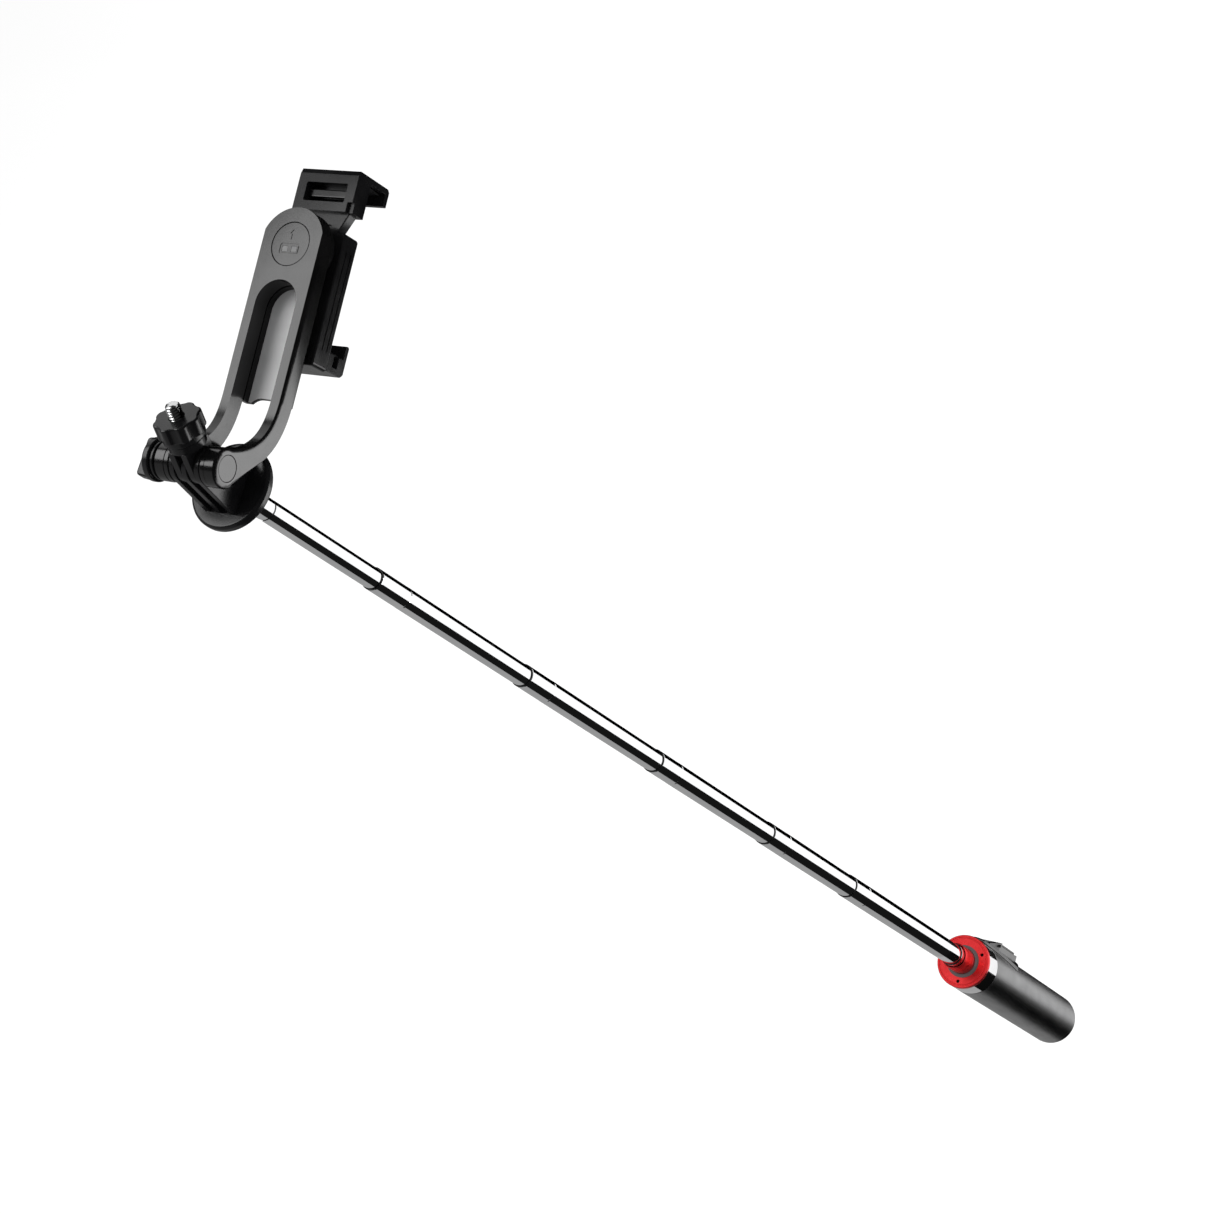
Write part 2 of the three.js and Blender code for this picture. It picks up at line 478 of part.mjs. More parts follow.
// Lower jaw: a ledge with a slot and a lip, fixed under the body.
const ledge = polygon([[54.5, CLAMP_BACK - GAP], [LEDGE_TOP, CLAMP_BACK - GAP],
  [LEDGE_TOP, -48.6], [57.2, -48.6], [57.2, -51.8], [LEDGE_TOP, -51.8], [LEDGE_TOP, -54.8],
  [68, -54.8], [68, -57], [56, -57], [54.5, -55.5]]);
const ledgeBody = sideSlab(ledge, -JAW_HALF_WIDTH, JAW_HALF_WIDTH);
const LOWER_PAD_LOW = LEDGE_TOP + 0.2;
const LOWER_PAD = [LOWER_PAD_LOW, LOWER_PAD_LOW + 1];
const ledgeScrewHoles = [-9, 9].map((x) =>
  rod(1.5, -48, CLAMP_BACK, 10).translate(x, 58.5, 0));
add(arm, 'lower_jaw', cut(ledgeBody, ...ledgeScrewHoles), darkPlastic);
add(arm, 'lower_jaw_pad', box(-12, 12, ...LOWER_PAD, -54.5, -46.8), rubber);

const SPRING = [59, 75.5];
[-8, 8].forEach((x, index) => {
  const spring = alongY(pipe(1.5, 0.9, ...SPRING, 14)).translate(x, 0, (LEG[0] + LEG[1]) / 2);
  add(arm, `jaw_spring_${index + 1}`, spring, steel);
});

// ---------------------------------------------------------------- shutter remote on the grip
// The cradle is a saddle on the grip's +Y side, with a ramp towards the collar.
const SADDLE_RADIUS = [GRIP_RADIUS + GAP, GRIP_RADIUS + 1.8];
const SADDLE = [41, 106];        // from the rear end to the front end
const SADDLE_CORNER = 9;         // length of the slanted rear corners
const DECK_Y = REMOTE_BOTTOM_Y - GAP;
const CAP_ANGLE = 51;            // half of the saddle's widest arc
const saddleRing = pipe(SADDLE_RADIUS[1], SADDLE_RADIUS[0], SADDLE[0], SADDLE[1], 56);
const saddlePlan = new THREE.Shape();
const rearHalf = SADDLE_RADIUS[1] * Math.sin(radians(CAP_ANGLE));
const frontHalf = 8.5;
saddlePlan.moveTo(-rearHalf + 4, SADDLE[0]);
saddlePlan.lineTo(rearHalf - 4, SADDLE[0]);
saddlePlan.lineTo(rearHalf, SADDLE[0] + SADDLE_CORNER);
saddlePlan.lineTo(frontHalf, SADDLE[1]);
saddlePlan.lineTo(-frontHalf, SADDLE[1]);
saddlePlan.lineTo(-rearHalf, SADDLE[0] + SADDLE_CORNER);
// A plan in X and Z, extruded along Y from low to high.
const planSlab = (shape, low, high) => slab(shape, -high, -low).rotateX(Math.PI / 2);
const saddle = common(saddleRing, planSlab(saddlePlan, 0, 30));
const deck = cut(box(-9.8, 9.8, 15, DECK_Y, SADDLE[0] + 0.5, REMOTE_FRONT + 4),
  rod(SADDLE_RADIUS[0] + 0.2, SADDLE[0] - 5, SADDLE[1] + 5, 56));
const RAIL_TOP = 22.4;
const rails = [-9.8, 8.3].map((x) =>
  box(x, x + 1.5, 19.5, RAIL_TOP, SADDLE[0] + 0.5, REMOTE_FRONT + 4));
const RAMP_END = 94;
const rampSide = polygon([[18, REMOTE_FRONT + 0.4], [REMOTE_TOP_Y, REMOTE_FRONT + 0.4],
  [REMOTE_TOP_Y, REMOTE_FRONT + 1.6], [SADDLE_RADIUS[1] - 0.3, RAMP_END], [18, RAMP_END]]);
const ramp = cut(sideSlab(rampSide, -9.8, 9.8),
  rod(SADDLE_RADIUS[0] + 0.2, SADDLE[0] - 5, SADDLE[1] + 5, 56));
const remoteBay = box(-8.3, 8.3, DECK_Y, 30, SADDLE[0] - 1, REMOTE_FRONT + 0.4);
add(stick, 'remote_cradle', cut(join(saddle, deck, ...rails, ramp), remoteBay), satinPlastic);

// The remote slides out of the cradle to the rear.
const SHELL_SEAM = 22.6;
const lowerShell = cut(
  box(-REMOTE_HALF_WIDTH, REMOTE_HALF_WIDTH, REMOTE_BOTTOM_Y, SHELL_SEAM - 0.1,
    REMOTE_REAR, REMOTE_FRONT),
  box(-7, 7, REMOTE_BOTTOM_Y + 0.6, SHELL_SEAM + 1, REMOTE_REAR + 1, REMOTE_FRONT - 1));
add(stick, 'remote_bottom', lowerShell, satinPlastic);
const BUTTON_Z = 65;
const CELL_Z = 50;
const topPlan = roundedRectangle(-REMOTE_HALF_WIDTH, REMOTE_HALF_WIDTH, REMOTE_REAR, REMOTE_FRONT, 1.5);
const topShell = cut(planSlab(topPlan, SHELL_SEAM + 0.1, REMOTE_TOP_Y),
  box(-7, 7, SHELL_SEAM - 1, REMOTE_TOP_Y - 0.7, REMOTE_REAR + 1, REMOTE_FRONT - 1),
  alongY(rod(4.2, 20, 30, 24)).translate(0, 0, BUTTON_Z));
add(stick, 'remote_top', topShell, satinPlastic);
const BOARD = [21.3, 21.9];
add(stick, 'remote_board', box(-6.5, 6.5, ...BOARD, CELL_Z + 7, REMOTE_FRONT - 2), boardGreen);
const cell = alongY(rod(6, 21.3, 22.9, 24)).translate(0, 0, CELL_Z);
add(stick, 'coin_cell', cell, steel);
const button = alongY(turned([[0, BOARD[1] + 0.6], [3.8, BOARD[1] + 0.6],
  [3.8, REMOTE_TOP_Y + 0.3],
  [3.4, REMOTE_TOP_Y + 0.5], [0, REMOTE_TOP_Y + 0.5]], 24)).translate(0, 0, BUTTON_Z);
add(stick, 'remote_button', button, rubber);

export default stick;
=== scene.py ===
"""Selfie stick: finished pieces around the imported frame, +Z along the tubes.

Places come from the frame: each piece reads the span of its node, in millimetres, in the
frame that suits it (grip, head, arm or adapter). Turned pieces are lathes, flat mouldings
are outlines with bevelled edges, and holes are cut with booleans.
"""
import json
import math

import bmesh
import bpy
from mathutils import Matrix, Vector


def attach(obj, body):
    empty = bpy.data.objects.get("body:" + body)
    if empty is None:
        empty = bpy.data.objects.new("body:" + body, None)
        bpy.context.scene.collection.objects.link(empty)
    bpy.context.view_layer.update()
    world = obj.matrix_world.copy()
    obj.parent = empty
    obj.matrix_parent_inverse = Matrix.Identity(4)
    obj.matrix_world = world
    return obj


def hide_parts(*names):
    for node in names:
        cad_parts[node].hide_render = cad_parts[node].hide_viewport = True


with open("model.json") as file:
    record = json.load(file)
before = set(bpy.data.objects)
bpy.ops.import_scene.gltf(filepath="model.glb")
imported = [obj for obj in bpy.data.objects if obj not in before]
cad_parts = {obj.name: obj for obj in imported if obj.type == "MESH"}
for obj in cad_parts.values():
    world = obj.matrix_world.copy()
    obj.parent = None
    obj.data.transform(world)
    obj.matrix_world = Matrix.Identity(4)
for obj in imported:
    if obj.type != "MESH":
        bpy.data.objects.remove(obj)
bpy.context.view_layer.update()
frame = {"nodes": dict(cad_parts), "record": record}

MM = 0.001
SIDES = 96                       # segments of a large turned piece
# Every paint but three is named after its slot, and Blender may add a full stop and a number to the
# name.
JOINTS = {joint["name"]: joint for joint in frame["record"]["behaviour"]["joints"]}


# ---- local frames
def axes(x, y, z, origin):
    """The matrix that takes local axes to these directions, about an origin."""
    matrix = Matrix((x, y, z)).transposed().to_4x4()
    matrix.translation = origin
    return matrix


AXLE = Vector(JOINTS["arm_tilt"]["pos_m"])
ARM_UP = Vector(JOINTS["jaw_slide"]["axis"]).normalized()
ARM_NORMAL = Vector(JOINTS["clamp_swivel"]["axis"]).normalized()
STUD_AXIS = Vector(JOINTS["camera_nut_turn"]["axis"]).normalized()
X, Y, Z = Vector((1, 0, 0)), Vector((0, 1, 0)), Vector((0, 0, 1))

GRIP = Matrix.Identity(4)
ARM = axes(X, ARM_UP, ARM_NORMAL, AXLE)
ADAPTER = axes(X, STUD_AXIS.cross(X), STUD_AXIS, AXLE)
HEAD = axes(X, Y, Z, AXLE)


def along_x(matrix):
    """Local Z runs along X, and local X and Y lie in the old Y and Z."""
    return matrix @ axes(Y, Z, X, Vector((0, 0, 0)))


def along_y(matrix):
    """Local Z runs along Y, and local X stays."""
    return matrix @ axes(X, -Z, Y, Vector((0, 0, 0)))


def shifted(matrix, x, y, z):
    """The same frame, moved along its own axes by millimetres."""
    return matrix @ Matrix.Translation(Vector((x, y, z)) * MM)


GRIP_X, HEAD_X, ARM_X, ADAPTER_X = (along_x(matrix) for matrix in (GRIP, HEAD, ARM, ADAPTER))


def span(node, matrix=GRIP):
    """Lowest and highest corner of a node in a local frame, in millimetres."""
    inverse = matrix.inverted()
    points = [inverse @ v.co / MM for v in frame["nodes"][node].data.vertices]
    return (Vector(min(p[i] for p in points) for i in range(3)),
            Vector(max(p[i] for p in points) for i in range(3)))


# ---- outlines
def rounded(corners, steps=6, closed=True):
    """Corners (x, y) or (x, y, radius) as points, with an arc at each corner with a radius."""
    points = []
    count = len(corners)
    for i, corner in enumerate(corners):
        here = Vector(corner[:2])
        radius = corner[2] if len(corner) > 2 else 0
        if radius == 0 or (not closed and i in (0, count - 1)):
            points.append(tuple(here))
            continue
        back = (Vector(corners[i - 1][:2]) - here).normalized()
        ahead = (Vector(corners[(i + 1) % count][:2]) - here).normalized()
        half = back.angle(ahead) / 2
        reach = radius / math.tan(half)
        centre = here + (back + ahead).normalized() * (radius / math.sin(half))
        first = here + back * reach - centre
        turn = math.pi - 2 * half
        if back.cross(ahead) > 0:
            turn = -turn
        for k in range(steps + 1):
            angle = turn * k / steps
            spoke = Vector((first.x * math.cos(angle) - first.y * math.sin(angle),
                            first.x * math.sin(angle) + first.y * math.cos(angle)))
            points.append(tuple(centre + spoke))
    return points


def both_sides(corners):
    """The corners of one side, then the same ones mirrored on the other."""
    return [*corners, *((-x, *rest) for x, *rest in reversed(corners))]


def arc(x, y, radius, start, end, steps=24):
    """Points on an arc, with its angles in degrees."""
    angles = [math.radians(start + (end - start) * k / steps) for k in range(steps + 1)]
    return [(x + radius * math.cos(a), y + radius * math.sin(a)) for a in angles]


def bezier(start, first, second, end, steps=18):
    """Points on a cubic curve between two ends, without the end itself."""
    points = []
    for k in range(steps):
        t = k / steps
        weights = ((1 - t) ** 3, 3 * t * (1 - t) ** 2, 3 * t * t * (1 - t), t ** 3)
        points.append(tuple(sum(w * p[i] for w, p in zip(weights,
            (start, first, second, end))) for i in (0, 1)))
    return points


def rectangle(x1, x2, y1, y2, radius=0, steps=6):
    """A rectangle, its corners rounded by radius."""
    return rounded([(x1, y1, radius), (x2, y1, radius), (x2, y2, radius), (x1, y2, radius)], steps)


def hexagon(radius):
    """The outline of a nut or a hexagon socket, by the radius at its corners."""
    return arc(0, 0, radius, 0, 300, 5)


def tongue(half, bottom, middle, steps=64):
    """Straight sides, a square lower end and a round upper end about y = middle."""
    return [(-half, bottom), (half, bottom)] + arc(0, middle, half, 0, 180, steps)


# ---- meshes
def new_object(name, mesh):
    obj = bpy.data.objects.new(name, mesh)
    bpy.context.scene.collection.objects.link(obj)
    return obj


def mesh_piece(name, points, faces, matrix=GRIP):
    """A mesh from points in millimetres of a local frame, with its faces turned outwards."""
    mesh = bpy.data.meshes.new(name)
    build = bmesh.new()
    verts = [build.verts.new(matrix @ (Vector(p) * MM)) for p in points]
    for face in faces:
        build.faces.new([verts[i] for i in face])
    bmesh.ops.recalc_face_normals(build, faces=build.faces)
    build.to_mesh(mesh)
    build.free()
    return new_object(name, mesh)


def lathe(name, profile, matrix=GRIP, sides=SIDES):
    """A piece turned about local Z from (radius, z) pairs. A profile off the axis closes on itself."""
    open_ended = profile[0][0] == 0
    points, rings, faces = [], [], []
    for radius, z in profile:
        if radius == 0:
            rings.append([len(points)])
            points.append((0, 0, z))
            continue
        rings.append(list(range(len(points), len(points) + sides)))
        points += [(radius * math.cos(2 * math.pi * k / sides),
                    radius * math.sin(2 * math.pi * k / sides), z) for k in range(sides)]
    pairs = list(zip(rings, rings[1:]))
    if not open_ended:
        pairs.append((rings[-1], rings[0]))
    for one, two in pairs:
        for k in range(sides):
            after = (k + 1) % sides
            if len(one) == 1:
                faces.append((one[0], two[k], two[after]))
            elif len(two) == 1:
                faces.append((one[k], one[after], two[0]))
            else:
                faces.append((one[k], one[after], two[after], two[k]))
    return mesh_piece(name, points, faces, matrix)


def turned(name, corners, steps, matrix=GRIP, sides=SIDES):
    """A solid about local Z. Its corners run from one end face to the other."""
    first, last = corners[0][1], corners[-1][1]
    profile = rounded([(0.1, first), *corners, (0.1, last)], steps, closed=False)
    return lathe(name, [(0, first), *profile, (0, last)], matrix, sides)


def flat_ring(name, outer, inner, ends, edge, steps, matrix, sides=SIDES):
    """A washer between two heights, with rounded outer edges."""
    low, high = ends
    return lathe(name, rounded([(outer, low, edge), (outer, high, edge), (inner, high),
        (inner, low)], steps), matrix, sides)


def prism(name, outline, start, end, matrix=GRIP):
    """An outline in local X and Y, extruded from z = start to z = end."""
    count = len(outline)
    points = [(x, y, start) for x, y in outline] + [(x, y, end) for x, y in outline]
    faces = [tuple(range(count)), tuple(range(count, 2 * count))]
    faces += [(k, (k + 1) % count, (k + 1) % count + count, k + count) for k in range(count)]
    return mesh_piece(name, points, faces, matrix)


def bevelled(name, outline, half, across, matrix=GRIP):
    """A prism about its middle with sloping rims. Each point gives its own depth of the slope."""
    kept = [(Vector(p), down) for (p, down), (last, _) in zip(outline, [outline[-1], *outline])
            if math.dist(p, last) > 0.05]
    drawn = [p for p, _ in kept]
    depths = [down for _, down in kept]
    count = len(drawn)
    turn = sum(a.x * b.y - b.x * a.y for a, b in zip(drawn, drawn[1:] + drawn[:1]))
    inset = []
    for k in range(count):
        before = (drawn[k] - drawn[k - 1]).normalized()
        after = (drawn[(k + 1) % count] - drawn[k]).normalized()
        inward = [Vector((-d.y, d.x)) * math.copysign(1, turn) for d in (before, after)]
        inset.append(drawn[k] + (inward[0] + inward[1]) * depths[k]
                     / (1 + inward[0].dot(inward[1])))
    rings = [(inset, -half), (drawn, across - half), (drawn, half - across), (inset, half)]
    points = [(*p, height) for ring, height in rings for p in ring]
    faces = [tuple(reversed(range(count))), tuple(range(3 * count, 4 * count))]
    for level in range(3):
        for k in range(count):
            a, b = level * count + k, level * count + (k + 1) % count
            faces.append((a, b, b + count, a + count))
    return tidy(mesh_piece(name, points, faces, matrix))


def disc(name, radius, start, end, matrix=GRIP, sides=SIDES):
    return lathe(name, [(0, start), (radius, start), (radius, end), (0, end)], matrix, sides)


def block(name, x, y, z, matrix=GRIP):
    """A tool for booleans: a box between pairs of coordinates."""
    return prism(name, rectangle(*x, *y), *z, matrix)


def apply_modifiers(obj):
    depsgraph = bpy.context.evaluated_depsgraph_get()
    mesh = bpy.data.meshes.new_from_object(obj.evaluated_get(depsgraph))
    obj.modifiers.clear()
    obj.data = mesh


def combine(target, tools, operation):
    for tool in tools:
        boolean = target.modifiers.new("boolean", "BOOLEAN")
        boolean.operation = operation
        boolean.solver = "EXACT"
        boolean.object = tool
        apply_modifiers(target)
        bpy.data.objects.remove(tool)
    return target


def cut(target, *tools):
    return combine(target, tools, "DIFFERENCE")


def join(target, *tools):
    return combine(target, tools, "UNION")


def common(target, *tools):
    return combine(target, tools, "INTERSECT")


def tidy(obj):
    """Merges what a boolean leaves behind: double points and needless ones."""
    build = bmesh.new()
    build.from_mesh(obj.data)
    bmesh.ops.remove_doubles(build, verts=build.verts, dist=0.002 * MM)
    bmesh.ops.dissolve_degenerate(build, edges=build.edges, dist=0.002 * MM)
    bmesh.ops.dissolve_limit(build, angle_limit=math.radians(0.5), verts=build.verts,
        edges=build.edges)
    build.to_mesh(obj.data)
    build.free()
    return obj


def soften(obj, width, segments=3, angle=32):
    """Rounds the edges sharper than an angle."""
    bevel = obj.modifiers.new("bevel", "BEVEL")
    bevel.width = width * MM
    bevel.segments = segments
    bevel.limit_method = "ANGLE"
    bevel.angle_limit = math.radians(angle)
    bevel.miter_outer = "MITER_ARC"
    bevel.use_clamp_overlap = True
    apply_modifiers(obj)
    return obj


def place(obj, body, paint, sharp=38):
    """Shades and paints a piece for its body. One named NODE_skin replaces that CAD node."""
    obj.data.shade_smooth()
    obj.data.set_sharp_from_angle(angle=math.radians(sharp))
    weighted = obj.modifiers.new("normals", "WEIGHTED_NORMAL")
    weighted.keep_sharp = True
    apply_modifiers(obj)
    obj.data.materials.clear()
    obj.data.materials.append(paint)
    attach(obj, body)
    if obj.name.endswith("_skin"):
        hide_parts(obj.name.removesuffix("_skin"))


# ---- materials
def add_node(tree, kind, source=None, into="Vector", **values):
    """A new node: a source is linked into one input, and values set others by name."""
    node = tree.nodes.new("ShaderNode" + kind)
    for name, value in values.items():
        node.inputs[name.replace("_", " ")].default_value = value
    if source is not None:
        tree.links.new(source, node.inputs[into])
    return node


class Paint:
    """A node material whose colour, roughness and bump vary over the surface."""

    def __init__(self, name, roughness, metallic=0.0, specular=0.5):
        self.material = bpy.data.materials.new(name)
        self.material.use_nodes = True
        self.tree = self.material.node_tree
        self.inputs = self.tree.nodes["Principled BSDF"].inputs
        self.inputs["Metallic"].default_value = metallic
        self.inputs["Roughness"].default_value = roughness
        self.inputs["Specular IOR Level"].default_value = specular
        self.place = add_node(self.tree, "TexCoord").outputs["Object"]

    def noise(self, scale, detail=3.0, stretch=(1, 1, 1)):
        mapping = add_node(self.tree, "Mapping", self.place, Scale=stretch)
        noise = add_node(self.tree, "TexNoise", mapping.outputs["Vector"], Scale=scale,
                         Detail=detail)
        return noise.outputs["Fac"]

    def colours(self, value, one, two, at=(0.35, 0.65)):
        ramp = add_node(self.tree, "ValToRGB", value, "Fac")
        for stop, position, colour in zip(ramp.color_ramp.elements, at, (one, two)):
            stop.position = position
            stop.color = (*colour, 1)
        self.tree.links.new(ramp.outputs["Color"], self.inputs["Base Color"])

    def rough(self, value, low, high):
        """Maps the middle of a noise to a roughness between low and high."""
        spread = add_node(self.tree, "MapRange", value, "Value", From_Min=0.3, From_Max=0.7,
                          To_Min=low, To_Max=high)
        self.tree.links.new(spread.outputs["Result"], self.inputs["Roughness"])

    def bump(self, value, strength, distance):
        bump = add_node(self.tree, "Bump", value, "Height", Strength=strength,
                        Distance=distance * MM)
        self.tree.links.new(bump.outputs["Normal"], self.inputs["Normal"])


def varied(name, roughness, tints, gloss, grain, **look):
    """A paint whose colour, roughness and relief vary: (value, value, noise settings) for each."""
    paint = Paint(name, roughness, **look)
    dark, light, *settings = tints
    paint.colours(paint.noise(*settings), dark, light)
    low, high, *settings = gloss
    paint.rough(paint.noise(*settings), low, high)
    strength, depth, *settings = grain
    paint.bump(paint.noise(*settings), strength, depth)
    return paint.material


def moulded(name, dark, light, low, high, grain, specular=0.5):
    """Moulded plastic: a fine grain, a faint flow in the colour, and handled patches."""
    return varied(name, low, (dark, light, 60, 4), (low, high, 140, 5), (0.25, 0.02, grain, 2),
                  specular=specular)


def anodised(name, dark, light, low, high):
    """Blackened metal: a faint lengthwise grain and small changes in its sheen."""
    tints = [(tone, tone, tone * 1.01) for tone in (dark, light)]
    return varied(name, low, (*tints, 50, 4), (low, high, 260, 4, (1, 1, 0.2)),
                  (0.12, 0.006, 2400, 2), metallic=1.0)


def red_paint():
    """Red anodised aluminium with the fine rings of the lathe."""
    paint = Paint("red_collar", 0.35, metallic=0.9)
    paint.colours(paint.noise(90, 4), (0.76, 0.036, 0.04), (0.9, 0.05, 0.055))
    paint.rough(paint.noise(300, 4), 0.26, 0.36)
    rings = add_node(paint.tree, "TexWave", paint.place, Scale=900, Distortion=0.4)
    rings.wave_type = "RINGS"
    rings.rings_direction = "Z"
    paint.bump(rings.outputs["Fac"], 0.3, 0.012)
    return paint.material


def board_paint():
    paint = Paint("board", 0.4)
    paint.colours(paint.noise(900, 2), (0.02, 0.12, 0.06), (0.03, 0.2, 0.1), (0.48, 0.52))
    paint.bump(paint.noise(900, 2), 0.3, 0.05)
    return paint.material


BLACK = moulded("black_plastic", (0.003, 0.003, 0.0034), (0.006, 0.006, 0.0064), 0.2, 0.28, 2200,
               0.35)
ARM_PAINT = moulded("arm_plastic", (0.002, 0.002, 0.0021), (0.004, 0.004, 0.0041), 0.16, 0.2, 3200)
MATTE = anodised("matte_grip", 0.21, 0.26, 0.28, 0.34)
TRAY = moulded("tray_plastic", (0.002, 0.002, 0.0021), (0.004, 0.004, 0.0041), 0.2, 0.26, 3200, 0.3)
CRADLE = anodised("cradle", 0.12, 0.15, 0.18, 0.24)
SHEET = moulded("tray_floor", (0.3, 0.3, 0.302), (0.34, 0.34, 0.343), 0.38, 0.46, 3200, 0.8)
# The dark red-grey of the ring at the neck's base is painted shade of a fillet.
NECK_SHADE = moulded("neck_rubber", (0.07, 0.055, 0.056), (0.1, 0.08, 0.081), 0.55, 0.65, 2600)
PRINT = moulded("badge_print", (0.08, 0.08, 0.081), (0.1, 0.1, 0.101), 0.3, 0.36, 3200)
SCREW = anodised("screw_black", 0.015, 0.025, 0.3, 0.4)
GLOSS = anodised("gloss_ring", 0.72, 0.78, 0.04, 0.07)
RUBBER = varied("pad_rubber", 0.75, ((0.006, 0.006, 0.0065), (0.012, 0.012, 0.0125), 300, 5),
                (0.62, 0.85, 500, 4), (0.5, 0.05, 2600, 2), specular=0.3)
CHROME = varied("tube_chrome", 0.03, ((0.86, 0.87, 0.88), (0.93, 0.935, 0.94), 30, 3),
                (0.02, 0.06, 400, 4, (1, 1, 0.02)), (0.03, 0.004, 2500, 2, (1, 1, 0.01)),
                metallic=1.0)
STEEL = varied("screw_steel", 0.22, ((0.55, 0.555, 0.56), (0.68, 0.685, 0.69), 200, 4),
               (0.14, 0.3, 900, 4), (0.1, 0.01, 3000, 2), metallic=1.0)
RED = red_paint()
BOARD = board_paint()


# ---- grip
def grip():
    shell_low, shell_high = span("grip_shell")
    radius = shell_high.x
    bore = radius - 2
    cap_low = span("grip_end_cap")[0].z
    seam = shell_low.z
    place(lathe("grip_shell_skin", rounded([
        (radius, seam, 0.15), (radius, shell_high.z, 0.5), (bore, shell_high.z), (bore, seam)])),
        "grip", MATTE)
    cap = [(0, cap_low), *rounded([(14.4, cap_low), (radius, cap_low, 4.4),
        (radius, seam - 0.12, 0.15), (bore - 0.3, seam - 0.12)], 10, closed=False),
        (bore - 0.3, seam + 5.8), (bore - 2, seam + 5.8), (bore - 2, seam - 2), (0, seam - 2)]
    place(lathe("grip_end_cap_skin", cap), "grip", MATTE)

    sleeve_low, sleeve_high = span("grip_sleeve")
    tube = span("tube_7")[1].x + 0.3
    sleeve = [(bore - 0.3, sleeve_low.z), (bore - 0.3, shell_high.z + 0.2),
        (radius - 0.35, shell_high.z + 0.2), (radius - 0.1, shell_high.z + 0.45),
        (radius - 0.1, sleeve_high.z - 0.2), (radius - 0.3, sleeve_high.z), (tube, sleeve_high.z),
        (tube, sleeve_low.z)]
    holes = [disc("hole", 1.2, sleeve_high.z - 8, sleeve_high.z + 1,
                  place_of_screw(n), 24) for n in (1, 2, 3)]
    place(cut(lathe("grip_sleeve_skin", sleeve), *holes), "grip", GLOSS)
    foot_low, foot_high = span("tube_foot")
    outer = foot_high.x
    place(lathe("tube_foot_skin", [(0, foot_low.z), *rounded([
        (0.1, foot_low.z), (outer, foot_low.z, 0.6), (outer, foot_low.z + 5, 0.4),
        (tube + 2.2, foot_low.z + 8, 0.6), (tube + 2.2, foot_high.z, 0.4), (tube, foot_high.z)],
        4, closed=False), (tube, foot_low.z + 3.8), (0, foot_low.z + 3.8)]),
        "grip", BLACK)


def place_of_screw(number):
    screw_low, screw_high = span(f"collar_screw_{number}")
    middle = (screw_low + screw_high) / 2
    return shifted(GRIP, middle.x, middle.y, 0)


def collar():
    low, high = span("red_collar")
    radius, back, mouth = high.x, low.z, high.z
    front = back + 3
    tube = span("tube_7")[1].x + 0.3
    neck = tube + 0.88
    profile = rounded([(radius, back), (radius, back + 1.1, 0.1), (radius - 0.35, back + 1.35, 0.1),
        (radius, back + 1.6, 0.1), (radius, front, 0.45), (17.5, front, 0.12), (17.3, front - 0.4),
        (16.7, front - 0.4), (16.5, front, 0.12), (neck, front), (neck, front + 4.6, 0.1),
        (neck - 0.22, front + 4.9), (neck, front + 5.2, 0.1), (neck, front + 9.6, 0.1),
        (neck - 0.22, front + 9.9), (neck, front + 10.2, 0.1), (neck, mouth, 0.6),
        (tube, mouth, 0.3), (tube, back)], 4)
    holes = [disc("hole", 1.2, back - 1, front + 1, place_of_screw(n), 32) for n in (1, 2, 3)]
    place(cut(lathe("red_collar_skin", profile), *holes), "grip", RED, sharp=30)
    ring_low, ring_high = span("neck_ring")
    # The ring at the neck's base, its dark red-grey painted shade.
    place(lathe("neck_ring_skin", rounded([
        (neck + 0.1, ring_low.z), (ring_high.x, ring_low.z, 0.1),
        (ring_high.x, ring_low.z + 0.2, 0.1), (neck + 0.9, ring_low.z + 0.5, 2),
        (neck + 0.1, ring_high.z, 0.1)], 6)), "grip", NECK_SHADE)
    for number in (1, 2, 3):
        screw(f"collar_screw_{number}")


def screw(node):
    """A small countersunk screw with a cross recess."""
    low, high = span(node)
    radius = (high.x - low.x) / 2
    matrix = place_of_screw(node[-1])
    shank = lathe(node + "_skin", [(0, low.z), *rounded([
        (0.3, low.z), (radius * 0.8, low.z + 1), (radius * 0.8, high.z - 1.2),
        (radius, high.z - 0.8), (radius, high.z, 0.15), (0.1, high.z)],
        3, closed=False), (0, high.z)], matrix, 32)
    top = high.z
    slots = [block("slot", (-0.55, 0.55), (-0.13, 0.13), (top - 0.4, top + 1), matrix),
             block("slot", (-0.13, 0.13), (-0.55, 0.55), (top - 0.4, top + 1), matrix)]
    place(cut(shank, *slots), "grip", SCREW)


# ---- telescopic tubes
CRIMP = 24                       # the crimped stretch below each mouth
TUBE_STEP = 0.52                 # from one tube's radius to the next


def gap_shade_ring(name, inner, outer, low, high, body):
    """A thin black ring that paints the shade at a joint's gap, and in the fine groove of tube 1, as a
    dark line.
    """
    ring = lathe(name, rounded([(outer, low), (outer, high, 0.06), (inner, high), (inner, low)], 3),
                 sides=72)
    place(ring, body, BLACK)


